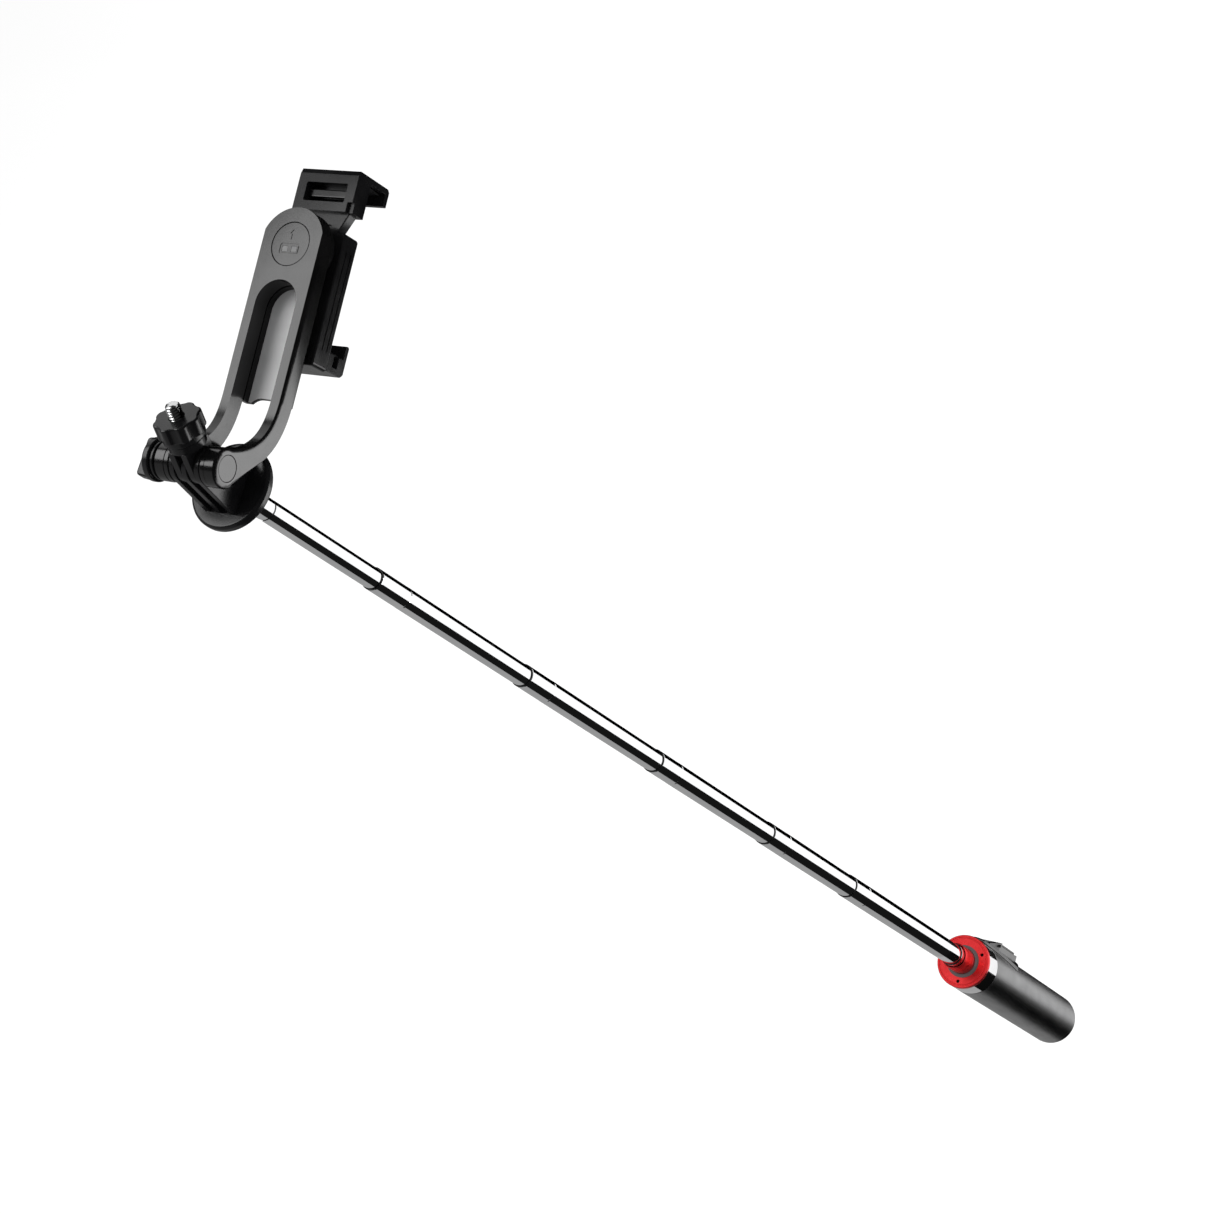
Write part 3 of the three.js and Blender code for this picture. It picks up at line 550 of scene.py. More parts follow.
def tube_skin(number, body):
    node = f"tube_{number}"
    foot, mouth = span(node)
    radius = mouth.x
    bore = radius - 0.35
    start = mouth.z - CRIMP
    ring = 0.22
    profile = rounded([
        (radius, foot.z, 0.05), (radius, start - 0.5, 0.4), (radius - ring, start, 0.3),
        (radius - 0.06, start + 0.5, 0.4), (radius - 0.06, mouth.z - 1.4, 0.5),
        (radius - 0.05, mouth.z - 0.4, 0.2), (radius - 0.25, mouth.z, 0.12),
        (bore, mouth.z), (bore, foot.z)], 3)
    if number == 1:              # a fine groove near the head, its shade painted by a black ring at its floor
        low, high = mouth.z - 22.3, mouth.z - 21.3
        groove = [(radius, low), (radius - 0.3, low + 0.05), (radius - 0.3, high - 0.05),
                  (radius, high)]
        gap_shade_ring("tube_1_ring", radius - 0.28, radius - 0.04, low + 0.08, high - 0.08, body)
        profile = [(radius, foot.z), *groove, (radius, mouth.z), (bore, mouth.z), (bore, foot.z)]
    else:
        # a black ring on the mouth paints the shade of the gap between the tubes
        gap_shade_ring(node + "_gap_shade", radius - TUBE_STEP + 0.07, radius - 0.06, mouth.z + 0.02,
            mouth.z + 0.9, body)
    place(lathe(node + "_skin", profile, sides=72), body, CHROME, sharp=50)


def bush_skin(number, body):
    node = f"tube_{number}_bush"
    foot, top = span(node)
    radius = top.x
    profile = rounded([
        (radius, foot.z, 0.4), (radius, foot.z + 3, 0.1), (radius - 0.5, foot.z + 3),
        (radius - 0.5, top.z, 0.2), (radius - 1.4, top.z, 0.1), (radius - 1.4, foot.z, 0.2)], 3)
    place(lathe(node + "_skin", profile, sides=48), body, BLACK)


def tubes():
    tube_skin(7, "grip")
    for number in range(6, 0, -1):
        tube_skin(number, f"stage_{number}")
        bush_skin(number, f"stage_{number}")
    plug_low, plug_high = span("head_plug")
    place(turned("head_plug_skin", [(plug_high.x, plug_low.z, 0.5),
        (plug_high.x, plug_high.z, 0.2)], 4, sides=48), "stage_1", BLACK)


# ---- head
FIN_PITCH = 6.3
FIN_THICKNESS = 2.6
BARREL = 8
BOLT = 2.4
HOLE_CLEARANCE = 0.3
SCREW_HOLE = 2.3                 # round the swivel's screw


def head():
    low, high = span("head_disc", HEAD)
    radius = high.x
    hub_low = low.z
    back, front = hub_low + 8, hub_low + 12.5
    hub = span("tube_1")[1].x + 2
    profile = [(0, front), *rounded([
        (0.1, front), (radius, front, 1.5), (radius, back, 1.4), (hub, back, 1.2),
        (hub, hub_low, 0.5), (hub - 1.8, hub_low), (hub - 1.8, back + 1.2)],
        8, closed=False), (0, back + 1.2)]
    body = lathe("head_disc_skin", profile, HEAD)
    lean = math.degrees(math.asin((12 - BARREL) / -front))
    for place_along in (-1, 0, 1):
        middle = place_along * FIN_PITCH
        outline = [(-12, front - 0.5), (12, front - 0.5), *arc(0, 0, BARREL, lean, 180 - lean, 40)]
        fin = prism("fin", outline, middle - FIN_THICKNESS / 2, middle + FIN_THICKNESS / 2, HEAD_X)
        body = join(body, soften(fin, 0.3, 3, 40))
    body = cut(body, disc("bore", BOLT + HOLE_CLEARANCE, -12, 12, HEAD_X, 48))
    place(body, "head", BLACK)


def axle():
    bolt_low, bolt_high = span("pivot_bolt", HEAD)
    rod = turned("pivot_bolt_skin", [(BOLT, bolt_low.x, 0.3), (BOLT, bolt_high.x, 0.5)], 4, HEAD_X,
                 48)
    place(rod, "knob", STEEL)

    knob_low, knob_high = span("thumb_knob", HEAD)
    ring_start, ring_end = knob_high.x, knob_high.x - 3.2
    ring = turned("thumb_knob_skin", [(9, ring_end, 0.9), (9, ring_start, 0.7),
        (7.4, ring_start, 0.2), (7.2, ring_start - 0.4)], 5, HEAD_X)
    wing_outline = rounded([(knob_low.x, -8, 1.6), (knob_low.x, 8, 1.6), (ring_end + 0.6, 8.6),
        (ring_end + 0.6, -8.6)], 8)
    wing = soften(prism("wing", wing_outline, -2.5, 2.5, HEAD), 0.9, 4, 40)
    knob = join(ring, wing)
    socket = disc("socket", BOLT + 0.15, bolt_low.x - 0.1, ring_start + 1, HEAD_X, 48)
    place(cut(knob, socket), "knob", BLACK)

    washer_low, washer_high = span("knob_washer", ARM)
    washer = flat_ring("knob_washer_skin", 8, BOLT + HOLE_CLEARANCE, (washer_low.x, washer_high.x),
        0.4, 4, ARM_X)
    place(washer, "arm", BLACK)

    nut_low, nut_high = span("pivot_nut", ARM)
    hex_nut("pivot_nut", 4.5, BOLT + 0.15, nut_low.x, nut_high.x, ARM_X)

    cap_low, cap_high = span("prong_cap", ARM)
    cap = turned("prong_cap_skin", [(5.4, cap_low.x), (5.4, cap_high.x, 0.25)], 5, ARM_X)
    place(cap, "arm", ARM_PAINT)


def hex_nut(node, radius, bore, low, high, matrix):
    """A steel nut of the arm, with a plain bore."""
    nut = soften(prism(node + "_skin", hexagon(radius), low, high, matrix), 0.25, 2, 40)
    place(cut(nut, disc("bore", bore, low - 1, high + 1, matrix, 48)), "arm", STEEL)


# ---- camera adapter
PITCH = 1.27                     # of the camera screw
STUD = 3.1


def threaded(name, radius, start, end, matrix):
    """A screw with a real helical thread, running out at both ends."""
    sides, depth = 48, 0.55
    rows = int((end - start) / PITCH * 10)
    points, faces = [(0, 0, start)], []
    for row in range(rows + 1):
        z = start + (end - start) * row / rows
        for k in range(sides):
            turn = (z / PITCH - k / sides) % 1
            groove = depth * (1 - abs(2 * turn - 1) * 1.25 if abs(2 * turn - 1) < 0.8 else 0)
            fade = min(1, (end - z) / 0.8, (z - start) / 0.8)
            tip = max(0, 0.7 - (end - z))
            reach = radius - groove * max(0, fade) - tip * 0.8
            angle = 2 * math.pi * k / sides
            points.append((reach * math.cos(angle), reach * math.sin(angle), z))
    points.append((0, 0, end))
    for k in range(sides):
        after = (k + 1) % sides
        faces.append((0, 1 + after, 1 + k))
        last = 1 + rows * sides
        faces.append((last + k, last + after, len(points) - 1))
        for row in range(rows):
            one, two = 1 + row * sides, 1 + (row + 1) * sides
            faces.append((one + k, one + after, two + after, two + k))
    return mesh_piece(name, points, faces, matrix)


def adapter():
    base_low, base_high = span("camera_adapter", ADAPTER)
    stud_low, stud_high = span("tripod_stud", ADAPTER)
    nut_low, nut_high = span("lock_nut", ADAPTER)
    top = base_high.z
    base_start = top - 3.7
    base = turned("camera_adapter_skin", [(7.8, base_start, 0.4), (7.8, top, 0.6)], 5, ADAPTER)
    inner = FIN_THICKNESS / 2 + 0.3
    outer = FIN_PITCH - inner
    outline = [(7.5, base_start + 0.5), (-7.5, base_start + 0.5), *arc(0, 0, 7.5, 180, 360, 40)]
    for side in (1, -1):
        finger = prism("finger", outline, side * inner, side * outer, ADAPTER_X)
        base = join(base, soften(finger, 0.3, 3, 40))
    base = cut(base, disc("bore", BOLT + HOLE_CLEARANCE, -8, 8, ADAPTER_X, 48),
               disc("bore", STUD + 0.1, stud_low.z - 0.2, top + 1, ADAPTER, 48))
    place(base, "adapter", BLACK)

    stud = threaded("tripod_stud_skin", STUD, stud_low.z, stud_high.z, ADAPTER)
    place(stud, "adapter", STEEL, sharp=60)

    lobe = (nut_high.x - nut_low.x) / 2
    lobes = []
    for step in range(160):
        angle = 2 * math.pi * step / 160
        wave = math.cos(8 * angle)
        radius = lobe - 0.45 + 0.45 * math.copysign(abs(wave) ** 0.6, wave)
        lobes.append((radius * math.cos(angle), radius * math.sin(angle)))
    step_z = nut_low.z + 2.2
    crown = soften(prism("lock_nut_skin", lobes, step_z, nut_high.z, ADAPTER), 0.8, 3, 50)
    skirt = turned("skirt", [(8.8, nut_low.z, 0.5), (8.8, step_z + 0.5)], 4, ADAPTER)
    nut = join(crown, skirt)
    nut = cut(nut, disc("bore", STUD + 0.3, nut_low.z - 1, nut_high.z + 1, ADAPTER, 48))
    place(nut, "camera_nut", BLACK)


# ---- fork arm
PRONG = 8.2
WINDOW_END = 74                  # height of the window's round end


def fork_arm():
    low, high = span("fork_arm", ARM)
    half = high.x
    top = high.y
    middle = top - half          # centre of the round plate
    front, back = -21.8, span("arm_tray", ARM)[1].z + 0.3
    rear_side = [(-5.7, -5.9), *bezier((9, -20.3), (15, -26.2), (24, back), (35, back)),
                 (top + 1, back)]
    front_side = [(top + 1, front), *bezier((36, front), (24, front), (13, -19), (8.15, -0.9)),
                  *arc(0, 0, PRONG, -6.3, 226, 48)]
    side = [(p, 0.3) for p in rear_side] + [(p, 2.0) for p in front_side]
    arm = bevelled("fork_arm_skin", side, half, 1.0, ARM_X)
    arm = common(arm, prism("outline", tongue(half, -PRONG - 1, middle), back - 1, PRONG + 1, ARM))
    window = tongue(10.3, -PRONG - 2, WINDOW_END)
    arm = tidy(cut(arm, prism("window", window, back - 2, PRONG + 2, ARM)))
    for side in (1, -1):
        boss = turned("boss", [(PRONG - 0.1, 7.9 * side, 0.4), (PRONG - 0.1, 10.2 * side, 0.3),
            (PRONG - 0.7, 10.2 * side), (PRONG - 0.7, 12 * side)], 4, ARM_X)
        arm = join(arm, boss)
    nut_low, nut_high = span("pivot_nut", ARM)
    swivel_low, swivel_high = span("swivel_nut", ARM)
    swivel = shifted(ARM, 0, middle, 0)
    arm = cut(
        arm,
        disc("bolt", BOLT + HOLE_CLEARANCE, -20, 20, ARM_X, 48),
        prism("nut", hexagon(4.9), nut_low.x - 0.3, 15, ARM_X),
        disc("cap", 5.55, 14.5, 20, ARM_X, 64),
        disc("badge", 9.5, front - 1.6, front + 1, swivel),
        prism("nut", hexagon(4.4), swivel_low.z - 0.3, front, swivel),
        disc("screw", SCREW_HOLE, back - 1, front, swivel, 48))
    place(arm, "arm", ARM_PAINT, sharp=30)

    hex_nut("swivel_nut", 4, 2, swivel_low.z, swivel_high.z, swivel)
    tray()
    badge(swivel, front)


def tray():
    low, high = span("arm_tray", ARM)
    outer = tongue(12, low.y, WINDOW_END)
    floor = low.z + 1.6
    arch, arch_radius, trim = 4.6, 6.6, 2.4
    shell = soften(prism("arm_tray_skin", outer, low.z, high.z, ARM), 0.5, 3, 50)
    pocket = prism("pocket", tongue(10, low.y - 1, WINDOW_END), floor, high.z + 1, ARM)
    opening = prism("opening", rectangle(-10, 10, low.y - 12, low.y + arch, arch_radius, 12),
        low.z - 1, floor + 1, ARM)
    end = block("end", (-13, 13), (low.y - 1, low.y + trim), (low.z - 1, high.z + 1), ARM)
    place(cut(shell, pocket, opening, end), "arm", TRAY, sharp=30)
    sheet = prism("arm_tray_sheet", tongue(9.9, low.y, WINDOW_END), floor - 0.4, floor + 0.06, ARM)
    opening = prism("opening", rectangle(-10, 10, low.y - 12, low.y + arch + 0.3, arch_radius, 12),
        floor - 1, floor + 1, ARM)
    end = block("end", (-13, 13), (low.y - 1, low.y + trim + 0.3), (floor - 1, floor + 1), ARM)
    place(cut(sheet, opening, end), "arm", SHEET, sharp=30)


def badge(matrix, front):
    """A round plate with a raised pictogram: an arrow over a clamp seen end on."""
    low, high = span("arm_badge", ARM)
    top = high.z
    plate = turned("arm_badge_skin", [(9.3, low.z), (9.3, top, 0.3)], 4, matrix)
    depth = 0.22
    frame_tool = prism("frame", rectangle(-4.9, 4.9, -4.4, 0.2, 1.0), top - depth, top + 1, matrix)
    frame_tool = cut(frame_tool, prism("inside", rectangle(-4.3, 4.3, -3.8, -0.4, 0.6), top - 1,
        top + 2, matrix))
    arrow = prism("arrow", [(-0.45, 1.8), (0.45, 1.8), (0.45, 4.4), (1.5, 4.4), (0, 6.3),
        (-1.5, 4.4), (-0.45, 4.4)], top - depth, top + 1, matrix)
    pads = [prism("pad", rectangle(x - 1.4, x + 1.4, -3.4, -0.8, 0.3), top - depth, top + 1,
                  matrix) for x in (-2.3, 2.3)]
    place(cut(plate, frame_tool, arrow, *pads), "arm", ARM_PAINT, sharp=30)
    for number, x in enumerate((-2.3, 2.3)):
        mark = prism(f"badge_mark_{number}", rectangle(x - 1.3, x + 1.3, -3.3, -0.9, 0.3),
                     top - depth + 0.02, top - 0.03, matrix)
        place(soften(mark, 0.05, 2, 50), "arm", PRINT)


# ---- clamp
def slab(node, radius, edge):
    """The node's own box, with its four corners rounded and its edges softened."""
    low, high = span(node, ARM)
    outline = rectangle(low.x, high.x, low.y, high.y, radius)
    return soften(prism(node + "_skin", outline, low.z, high.z, ARM), edge, 3, 50)


def clamp():
    low, high = span("clamp_body", ARM)
    middle = span("arm_badge", ARM)
    centre = (middle[0].y + middle[1].y) / 2
    swivel = shifted(ARM, 0, centre, 0)
    half, bottom, top = high.x, low.y, high.y
    front, back = high.z, low.z
    web = front - 2
    body = prism("clamp_body_skin", rectangle(-half, half, bottom, top, 1.5), back, front, ARM)
    body = soften(body, 0.7, 3, 50)
    side_grooves = [block("groove", (side * (half - 0.35), side * (half + 1)), (y, y + 42),
        (z, z + 0.7), ARM) for side in (1, -1) for y, z in ((61, front - 4), (61, back + 2.6))]
    body = cut(body, block("pocket", (-14, 14), (57, top + 1), (back - 1, web), ARM),
               disc("screw", SCREW_HOLE, web - 1, front + 1, swivel, 48), *side_grooves)
    place(body, "clamp", BLACK, sharp=30)

    place(slab("clamp_cover", 1, 0.3), "clamp", BLACK)
    face = span("back_pad", ARM)[0].z
    ribs = [block("rib", (-10.5, 10.5), (y, y + 1), (face - 1, face + 0.35), ARM)
            for y in range(67, 104, 3)]
    place(cut(slab("back_pad", 2, 0.35), *ribs), "clamp", RUBBER)

    disc_low, disc_high = span("swivel_disc", ARM)
    place(flat_ring("swivel_disc_skin", 13, SCREW_HOLE, (disc_low.z, disc_high.z), 0.6, 5, swivel),
          "clamp", BLACK)
    screw_low, screw_high = span("swivel_screw", ARM)
    head_top = screw_low.z
    bolt = turned("swivel_screw_skin", [(4.2, head_top, 0.7), (4.2, head_top + 2.4),
        (1.8, head_top + 2.4), (1.8, screw_high.z, 0.3)], 4, swivel, 48)
    socket = prism("socket", hexagon(1.9), head_top - 1, head_top + 1.3, swivel)
    place(cut(bolt, socket), "clamp", STEEL)
    washer_low, washer_high = span("swivel_washer", ARM)
    place(flat_ring("swivel_washer_skin", 5, SCREW_HOLE, (washer_low.z, washer_high.z), 0.12, 3,
                    swivel, 48), "clamp", STEEL)
    for number in (1, 2):
        spring(f"jaw_spring_{number}")
    lower_jaw()


def spring(node):
    """A coil spring with closed ends, as a swept wire."""
    low, high = span(node, ARM)
    centre = (low + high) / 2
    wire, turns, per_turn, around = 0.26, 17, 20, 8
    radius = (high.x - low.x) / 2 - wire - 0.03
    length = high.y - low.y - 2 * wire - 0.1
    points, faces = [], []
    steps = turns * per_turn
    for k in range(steps + 1):
        share = k / steps
        angle = 2 * math.pi * k / per_turn
        eased = share - 0.04 * math.sin(2 * math.pi * share)
        y = low.y + wire + 0.05 + length * eased
        out = Vector((math.cos(angle), 0, math.sin(angle)))
        middle = Vector((centre.x, y, centre.z)) + out * radius
        for j in range(around):
            turn = 2 * math.pi * j / around
            points.append(middle + out * wire * math.cos(turn) + Vector((0, wire, 0)) * math.sin(turn))
    for k in range(steps):
        for j in range(around):
            after = (j + 1) % around
            one, two = k * around, (k + 1) * around
            faces.append((one + j, one + after, two + after, two + j))
    faces.append(tuple(range(around)))
    faces.append(tuple(range(steps * around, (steps + 1) * around)))
    place(mesh_piece(node + "_skin", points, faces, ARM), "clamp", STEEL)


def lower_jaw():
    low, high = span("lower_jaw", ARM)
    half, back = high.x, high.z
    ledge = 62.2
    outline = rounded([
        (54.5, back, 0.4), (54.5, -55.5, 0.8), (56, -57, 0.8), (68, -57, 0.8), (68, -54.8, 0.8),
        (ledge, -54.8, 0.5), (ledge, -51.8, 0.3), (57.2, -51.8, 0.4), (57.2, -48.6, 0.4),
        (ledge, -48.6, 0.3), (ledge, back, 0.3)], 4)
    jaw = soften(prism("lower_jaw_skin", outline, -half, half, ARM_X), 0.5, 3, 60)
    holes = [disc("hole", 1.5, -48, -45, shifted(ARM, x, 58.5, 0), 32) for x in (-9, 9)]
    place(cut(jaw, *holes), "clamp", BLACK, sharp=30)
    grip_pad("lower_jaw_pad", "clamp", 1)


def grip_pad(node, body, side):
    """A thin rubber strip with ribs along X on the face that touches the phone."""
    low, high = span(node, ARM)
    pad = prism(node + "_skin", rectangle(low.y, high.y, low.z, high.z), low.x, high.x, ARM_X)
    face = high.y if side > 0 else low.y
    ribs = [block("rib", (low.x - 1, high.x + 1), (face - 0.25, face + 0.25), (z, z + 0.6),
        ARM) for z in [low.z + 0.9 + 1.5 * k for k in range(5)]]
    place(cut(soften(pad, 0.15, 2, 50), *ribs), body, RUBBER)


def upper_jaw():
    low, high = span("upper_jaw", ARM)
    half, front = high.x, high.z
    block_low, under, back = 119, 134.3, -44.5
    body = block("upper_jaw_skin", (-half, half), (block_low, under + 0.5), (back, front), ARM)
    hook = prism("hook", [(under, front), (high.y, front - 0.8), (high.y, low.z + 1.2),
        (high.y - 1.2, low.z), (129, low.z), (129, -55.2), (under, -55.2)], -half, half, ARM_X)
    body = tidy(join(body, hook))
    body = soften(body, 0.7, 3, 40)
    neck = prism("neck", both_sides([(-13, 119.5), (-13, 118.5), (-9.5, 111), (-9.5, low.y),
        (-5.3, low.y), (-5.3, 113.5)]), -42.8, -37.6, ARM)
    body = join(body, soften(neck, 0.5, 3, 30))
    window = prism("window", rectangle(-10.5, 10.5, 122.9, 131, 0.7), back + 2, front + 1, ARM)
    notch = block("notch", (12.4, half + 1), (block_low - 1, 123.2), (front - 1.6, front + 1), ARM)
    bar_low, bar_high = span("jaw_cross_bar", ARM)
    bar_middle = (bar_low.y + bar_high.y) / 2
    pin_place = along_x(shifted(ARM, 0, bar_middle, -39.2))
    body = cut(body, window, notch, disc("pin", 1.25, -12.6, 12.6, pin_place, 32))
    place(body, "sliding_jaw", BLACK, sharp=30)

    bar = soften(prism("jaw_cross_bar_skin", rectangle(bar_low.y, bar_high.y, -40.5, -37.9, 0.6),
        -10.2, 10.2, ARM_X), 0.25, 2, 50)
    bar = join(bar, disc("pin", 1, -12.3, 12.3, pin_place, 32))
    place(bar, "sliding_jaw", ARM_PAINT, sharp=30)
    grip_pad("upper_jaw_pad", "sliding_jaw", -1)


# ---- shutter remote
TOP = along_y(GRIP)


def on_top(name, outline, start, end):
    """An outline in X and Z, extruded along Y."""
    return prism(name, [(x, -z) for x, z in outline], start, end, TOP)


def cradle():
    low, high = span("remote_cradle")
    shell_low, shell_high = span("remote_top")
    radius = span("grip_shell")[1].x
    inner, outer = radius + 0.3, radius + 1.8
    rear, front = low.z, high.z
    bay = shell_high.z
    flange = high.x
    saddle = lathe("remote_cradle_skin", rounded([
        (outer, rear, 0.5), (outer, front, 0.9), (inner, front, 0.2), (inner, rear, 0.2)], 4),
        sides=160)
    corner = rear + 9
    plan = rounded(both_sides([(flange - 4, rear, 2), (flange, corner, 5), (8.5, front, 2.5)]), 8)
    saddle = common(saddle, on_top("plan", plan, 0, 30))
    deck_y = shell_low.y - 2.4
    nose = bay + 18
    hull = prism("hull", rounded([
        (15, rear + 0.6), (deck_y + 2.1, rear + 0.6, 0.6), (deck_y + 2.1, bay + 0.4),
        (shell_high.y, bay + 0.4, 0.3), (shell_high.y, bay + 1.6, 1), (outer - 0.5, nose - 0.2, 1),
        (15, nose - 0.2)], 6), -9.8, 9.8, GRIP_X)
    bow = on_top("bow", rounded(both_sides([(9.9, rear), (9.9, bay + 4, 6), (6.5, nose + 1, 2)]),
        8), 10, 30)
    hull = soften(common(hull, bow), 0.5, 3, 40)
    hull = cut(hull, disc("clear", inner + 0.15, rear - 5, front + 5, GRIP, 160))
    body = join(saddle, hull)
    recess = on_top("recess", rounded(both_sides([(5, bay + 3.2, 1), (3.6, bay + 12, 1.2)]), 5),
                    deck_y + 0.6, 40)
    seam = (21.9, 22.4)
    seams = [block("seam", (side * 9.1, side * 11), seam, (rear + 3, bay + 1), GRIP)
             for side in (1, -1)]
    fall = (outer - 0.5 - shell_high.y) / (nose - 1.8 - bay)
    start, end = bay + 2.5, bay + 11
    ramp_start, ramp_end = (shell_high.y + fall * (z - bay - 1.6) for z in (start, end))
    pocket = [(ramp_start - 3.4, start), (ramp_start - 1, start), (ramp_end - 1, end),
              (ramp_end - 2.6, end)]
    # Each side gets a pocket; a thin black sheet on its floor and a black strip in the seam are
    # painted shade.
    for side in (1, -1):
        seams.append(prism("pocket", pocket, side * 8.2, side * 11, GRIP_X))
        painted_shade = join(prism(f"cradle_painted_shade_{side}", pocket, side * 8, side * 8.25, GRIP_X),
                    block("strip", (side * 8.9, side * 9.2), seam, (rear + 3, bay + 1)))
        place(painted_shade, "grip", BLACK)
    body = cut(body, block("bay", (-8.3, 8.3), (deck_y, 40), (rear - 1, bay + 0.4)), recess, *seams)
    place(body, "grip", CRADLE, sharp=30)


def remote():
    low, high = span("remote_bottom")
    plan = rectangle(-high.x, high.x, low.z, high.z, 1.5)
    hollow = rectangle(-7, 7, low.z + 1, high.z - 1, 1)
    bottom = soften(on_top("remote_bottom_skin", plan, low.y, high.y), 0.3, 3, 50)
    bottom = cut(bottom, on_top("hollow", hollow, low.y + 0.6, high.y + 1))
    place(bottom, "remote", ARM_PAINT, sharp=30)

    low, high = span("remote_top")
    button_low, button_high = span("remote_button")
    at_button = shifted(TOP, 0, -(button_low.z + button_high.z) / 2, 0)
    lid = soften(on_top("remote_top_skin", plan, low.y, high.y), 0.5, 4, 50)
    slots = [on_top("slot", rectangle(x, x + 1.1, 45, 59, 0.5), high.y - 0.45, high.y + 1)
             for x in (-4.6, 3.5)]
    lid = cut(lid, on_top("hollow", hollow, low.y - 1, high.y - 0.7),
              disc("hole", 4.1, 15, 30, at_button, 64), *slots)
    place(lid, "remote", ARM_PAINT, sharp=30)
    top = button_high.y
    button = turned("remote_button_skin", [(3.8, button_low.y), (3.8, top, 0.4), (2.6, top, 1),
        (1.8, top - 0.3, 1)], 4, at_button, 64)
    place(button, "button", RUBBER)

    low, high = span("coin_cell")
    cell = turned("coin_cell_skin", [(6, low.y, 0.3), (6, high.y - 0.3, 0.2), (5.1, high.y - 0.3),
        (5.1, high.y, 0.15)], 3, shifted(TOP, 0, -(low.z + high.z) / 2, 0), 64)
    place(cell, "remote", STEEL)
    low, high = span("remote_board")
    outline = rectangle(low.x, high.x, low.z, high.z, 0.8)
    board = on_top("remote_board_skin", outline, low.y, high.y)
    place(soften(board, 0.06, 2, 50), "remote", BOARD)


# ---- stage, light and camera
CAMERA = Vector((0.6382, -0.2240, 1.7823))
VIEW_RIGHT = Vector((0.8539, 0.2763, -0.4410))
VIEW_UP = Vector((-0.1337, 0.9354, 0.3272))
SENSOR = 36
FOCAL_LENGTH = 2500 / 1214       # in widths of the image
FLOOR_Z = -0.45
FLOOR_RADIUS = 40
RING = 0.2                       # radius of the reflector ring round the tubes
CARDS_LOW, SLEEVE_CARDS, GRIP_CARDS, HEAD_CARDS, SIDE_CARD_TOP, CARDS_TOP = (
    -1.7, -0.4, -0.3, 0.8, 0.93, 1.2)


def glow(name, strength, one_sided):
    """Light of its own, and with one_sided none at the back, where it is clear."""
    paint = bpy.data.materials.new(name)
    paint.use_nodes = True
    tree = paint.node_tree
    tree.nodes.clear()
    emission = add_node(tree, "Emission", Strength=strength)
    clear = add_node(tree, "BsdfTransparent")
    pick = add_node(tree, "MixShader", emission.outputs["Emission"], 1, Fac=0)
    tree.links.new(clear.outputs["BSDF"], pick.inputs[2])
    if one_sided:
        back = add_node(tree, "NewGeometry").outputs["Backfacing"]
        tree.links.new(back, pick.inputs["Fac"])
    add_node(tree, "OutputMaterial", pick.outputs["Shader"], "Surface")
    return paint


def only_reflected(card, strength, one_sided=False):
    """Makes a piece of the studio glow, and hides it from all but reflections."""
    card.data.materials.append(glow(card.name, strength, one_sided))
    card.visible_camera = card.visible_diffuse = False
    card.visible_shadow = card.visible_transmission = False


def glow_panel(name, position, facing, half_size, strength):
    """A flat card that faces one way."""
    facing = facing.normalized()
    side = Z.cross(facing).normalized()
    matrix = axes(side, facing.cross(side), facing, position)
    wide, high = half_size[0] / MM, half_size[1] / MM
    card = mesh_piece(name, [(-wide, -high, 0), (wide, -high, 0), (wide, high, 0),
        (-wide, high, 0)], [(0, 1, 2, 3)], matrix)
    if (card.matrix_world.to_3x3() @ card.data.polygons[0].normal).dot(facing) < 0:
        card.data.flip_normals()
    only_reflected(card, strength, one_sided=True)


def reflector(name, start, end, strength, bottom, top):
    """A curved card round the pole, between two headings, in degrees at its bottom and its top."""
    steps = max(2, int((end[0] - start[0]) / 4))
    points, faces = [], []
    for k in range(steps + 1):
        for level, height in enumerate((bottom, top)):
            angle = math.radians(start[level] + (end[level] - start[level]) * k / steps)
            points.append((RING * math.cos(angle) / MM, RING * math.sin(angle) / MM, height / MM))
    for k in range(steps):
        faces.append((2 * k, 2 * k + 1, 2 * k + 3, 2 * k + 2))
    only_reflected(mesh_piece(name, points, faces), strength)


def mirrored(point, normal):
    """The direction that the camera sees in a flat mirror at a point."""
    view = (CAMERA - point).normalized()
    return 2 * view.dot(normal) * normal - view


def area_light(name, position, target, size, power):
    data = bpy.data.lights.new(name, "AREA")
    data.shape = "RECTANGLE"
    data.size, data.size_y = size
    data.energy = power
    light = new_object(name, data)
    light.location = position
    light.rotation_euler = (Vector(target) - Vector(position)).to_track_quat("-Z", "Y").to_euler()
    light.visible_camera = light.visible_glossy = False


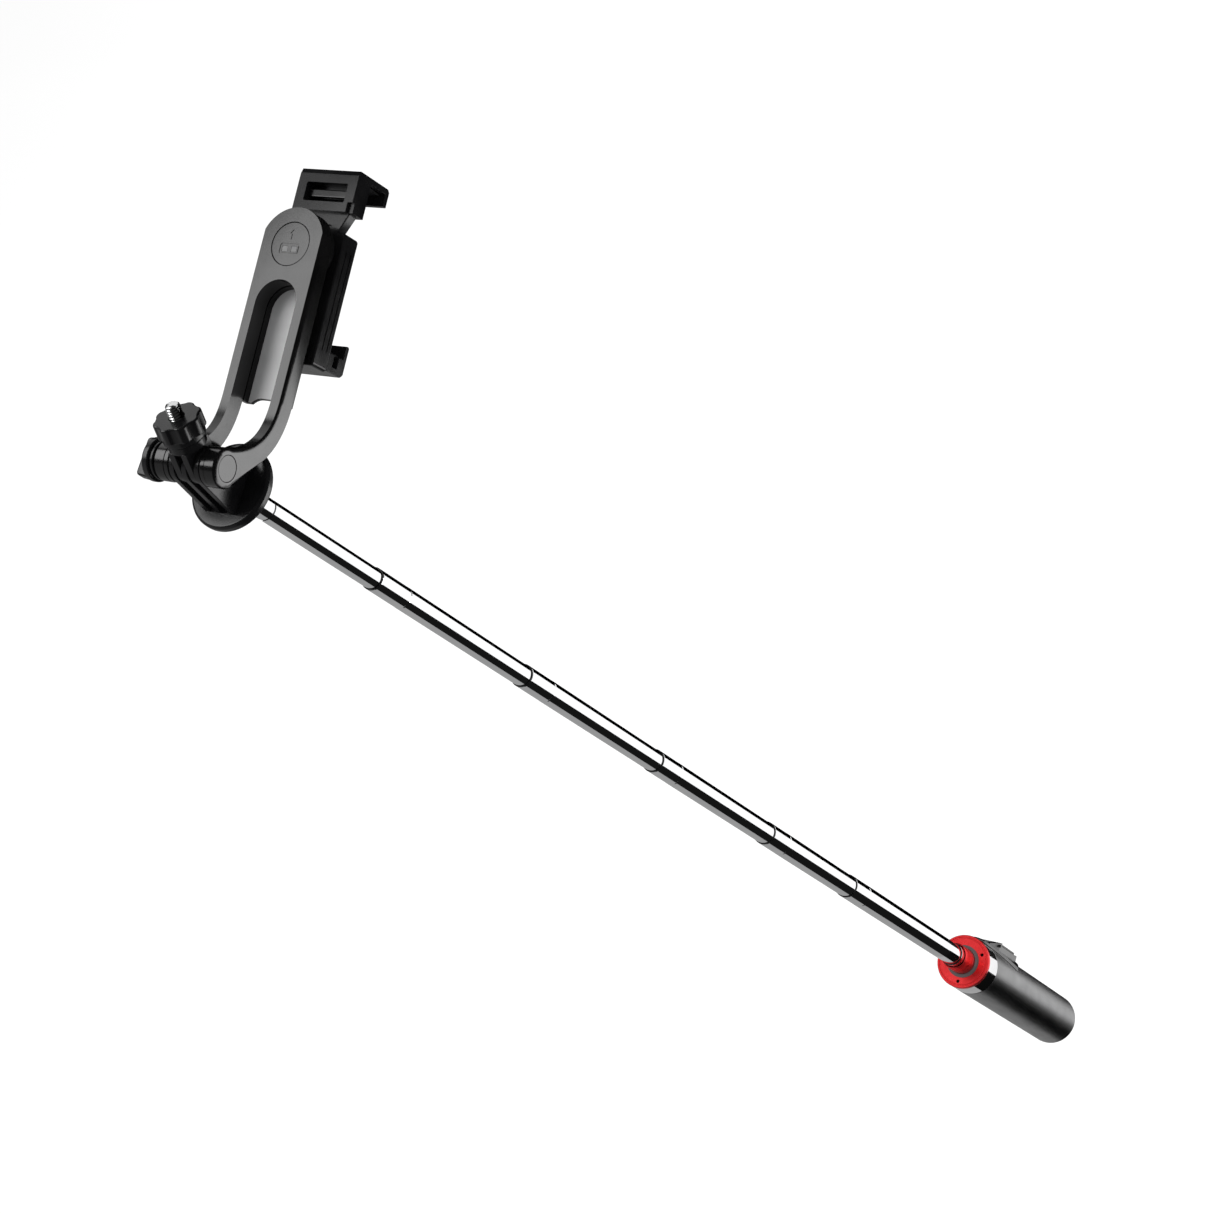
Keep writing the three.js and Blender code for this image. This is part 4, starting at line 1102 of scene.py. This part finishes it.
def studio():
    floor = mesh_piece("floor", [(x, y, FLOOR_Z / MM) for x,
        y in arc(0, 0, FLOOR_RADIUS / MM, 0, 360 - 360 / SIDES, SIDES - 1)], [tuple(range(SIDES))])
    paint = Paint("floor", 0.9, specular=0.0)
    paint.colours(paint.noise(2), (0.86, 0.86, 0.86), (0.88, 0.88, 0.88))
    floor.data.materials.append(paint.material)
    floor.visible_glossy = False

    world = bpy.data.worlds.new("studio")
    bpy.context.scene.world = world
    world.use_nodes = True
    tree = world.node_tree
    room = tree.nodes["Background"]
    room.inputs["Color"].default_value = (1, 1, 1, 1)
    room.inputs["Strength"].default_value = 0.9
    in_gloss = add_node(tree, "Background", Color=(1, 1, 1, 1), Strength=0.03)
    gloss_ray = add_node(tree, "LightPath").outputs["Is Glossy Ray"]
    pick = add_node(tree, "MixShader", gloss_ray, "Fac")
    tree.links.new(room.outputs["Background"], pick.inputs[1])
    tree.links.new(in_gloss.outputs["Background"], pick.inputs[2])
    tree.links.new(pick.outputs["Shader"], tree.nodes["World Output"].inputs["Surface"])

    white_start, white_end = (0, -17), (70, 78)
    for name, start, end, strength, bottom, top in (
            ("card_white", white_start, white_end, 1.15, GRIP_CARDS, HEAD_CARDS),
            ("card_dark", white_end, (156, 156), 0.0, GRIP_CARDS, HEAD_CARDS),
            ("card_grey", (156, 156), (276, 276), 0.33, GRIP_CARDS, CARDS_TOP),
            ("card_black", (276, 276), (360, 343), 0.008, GRIP_CARDS, HEAD_CARDS),
            ("head_black", (276, 276), (343, 343), 0.008, HEAD_CARDS, CARDS_TOP),
            ("head_white", (-17, -17), (33, 33), 4.6, HEAD_CARDS, SIDE_CARD_TOP),
            ("head_dark", (33, 33), (156, 156), 0.0, HEAD_CARDS, SIDE_CARD_TOP),
            ("head_top", (-17, -17), (156, 156), 0.0, SIDE_CARD_TOP, CARDS_TOP),
            ("sleeve_white", (4, 4), (68, 68), 1.15, SLEEVE_CARDS, GRIP_CARDS),
            ("sleeve_dark", (68, 68), (156, 156), 0.01, SLEEVE_CARDS, GRIP_CARDS),
            ("sleeve_grey", (156, 156), (276, 276), 0.42, SLEEVE_CARDS, GRIP_CARDS),
            ("sleeve_black", (276, 276), (364, 364), 0.004, SLEEVE_CARDS, GRIP_CARDS)):
        reflector(name, start, end, strength, bottom, top)
    for k, (start, end, strength) in enumerate((
            (20, 66, 1.1), (66, 82, 0.5), (82, 96, 0.15), (96, 156, 0.0), (156, 276, 0.42),
            (276, 342, 0.0), (342, 356, 0.12), (356, 368, 0.3), (368, 380, 0.6))):
        reflector(f"grip_card_{k}", (start, start), (end, end), strength, CARDS_LOW, SLEEVE_CARDS)
    glow_panel("arm_panel", Vector((-0.225, 0.06, 1.325)), Vector((0.63, -0.11, -0.77)),
               (0.14, 0.11), 4.6)
    glow_panel("collar_panel", Vector((-0.085, 0.033, 0.33)), Vector((0.34, -0.13, -0.93)),
               (0.075, 0.075), 0.85)
    nut_top = ADAPTER @ Vector((0, 0, span("lock_nut", ADAPTER)[1].z * MM))
    seen = mirrored(nut_top, STUD_AXIS)
    glow_panel("nut_panel", nut_top + seen * 0.16, -seen, (0.05, 0.05), 1.1)
    area_light("key", (-1.25, 0.3, 2.6), (0, 0.05, 1.0), (1.5, 1.5), 36)
    area_light("side", (1.6, 0.7, 0.9), (0, 0, 0.6), (1.0, 1.6), 12)

    camera = new_object("camera", bpy.data.cameras.new("camera"))
    camera.matrix_world = axes(VIEW_RIGHT.normalized(), VIEW_UP.normalized(),
        VIEW_RIGHT.cross(VIEW_UP).normalized(), CAMERA)
    camera.data.sensor_width = SENSOR
    camera.data.lens = SENSOR * FOCAL_LENGTH
    camera.data.clip_end = 100
    bpy.context.scene.camera = camera
    bpy.context.scene.view_settings.view_transform = "Standard"


grip()
collar()
tubes()
head()
axle()
adapter()
fork_arm()
clamp()
upper_jaw()
cradle()
remote()
studio()
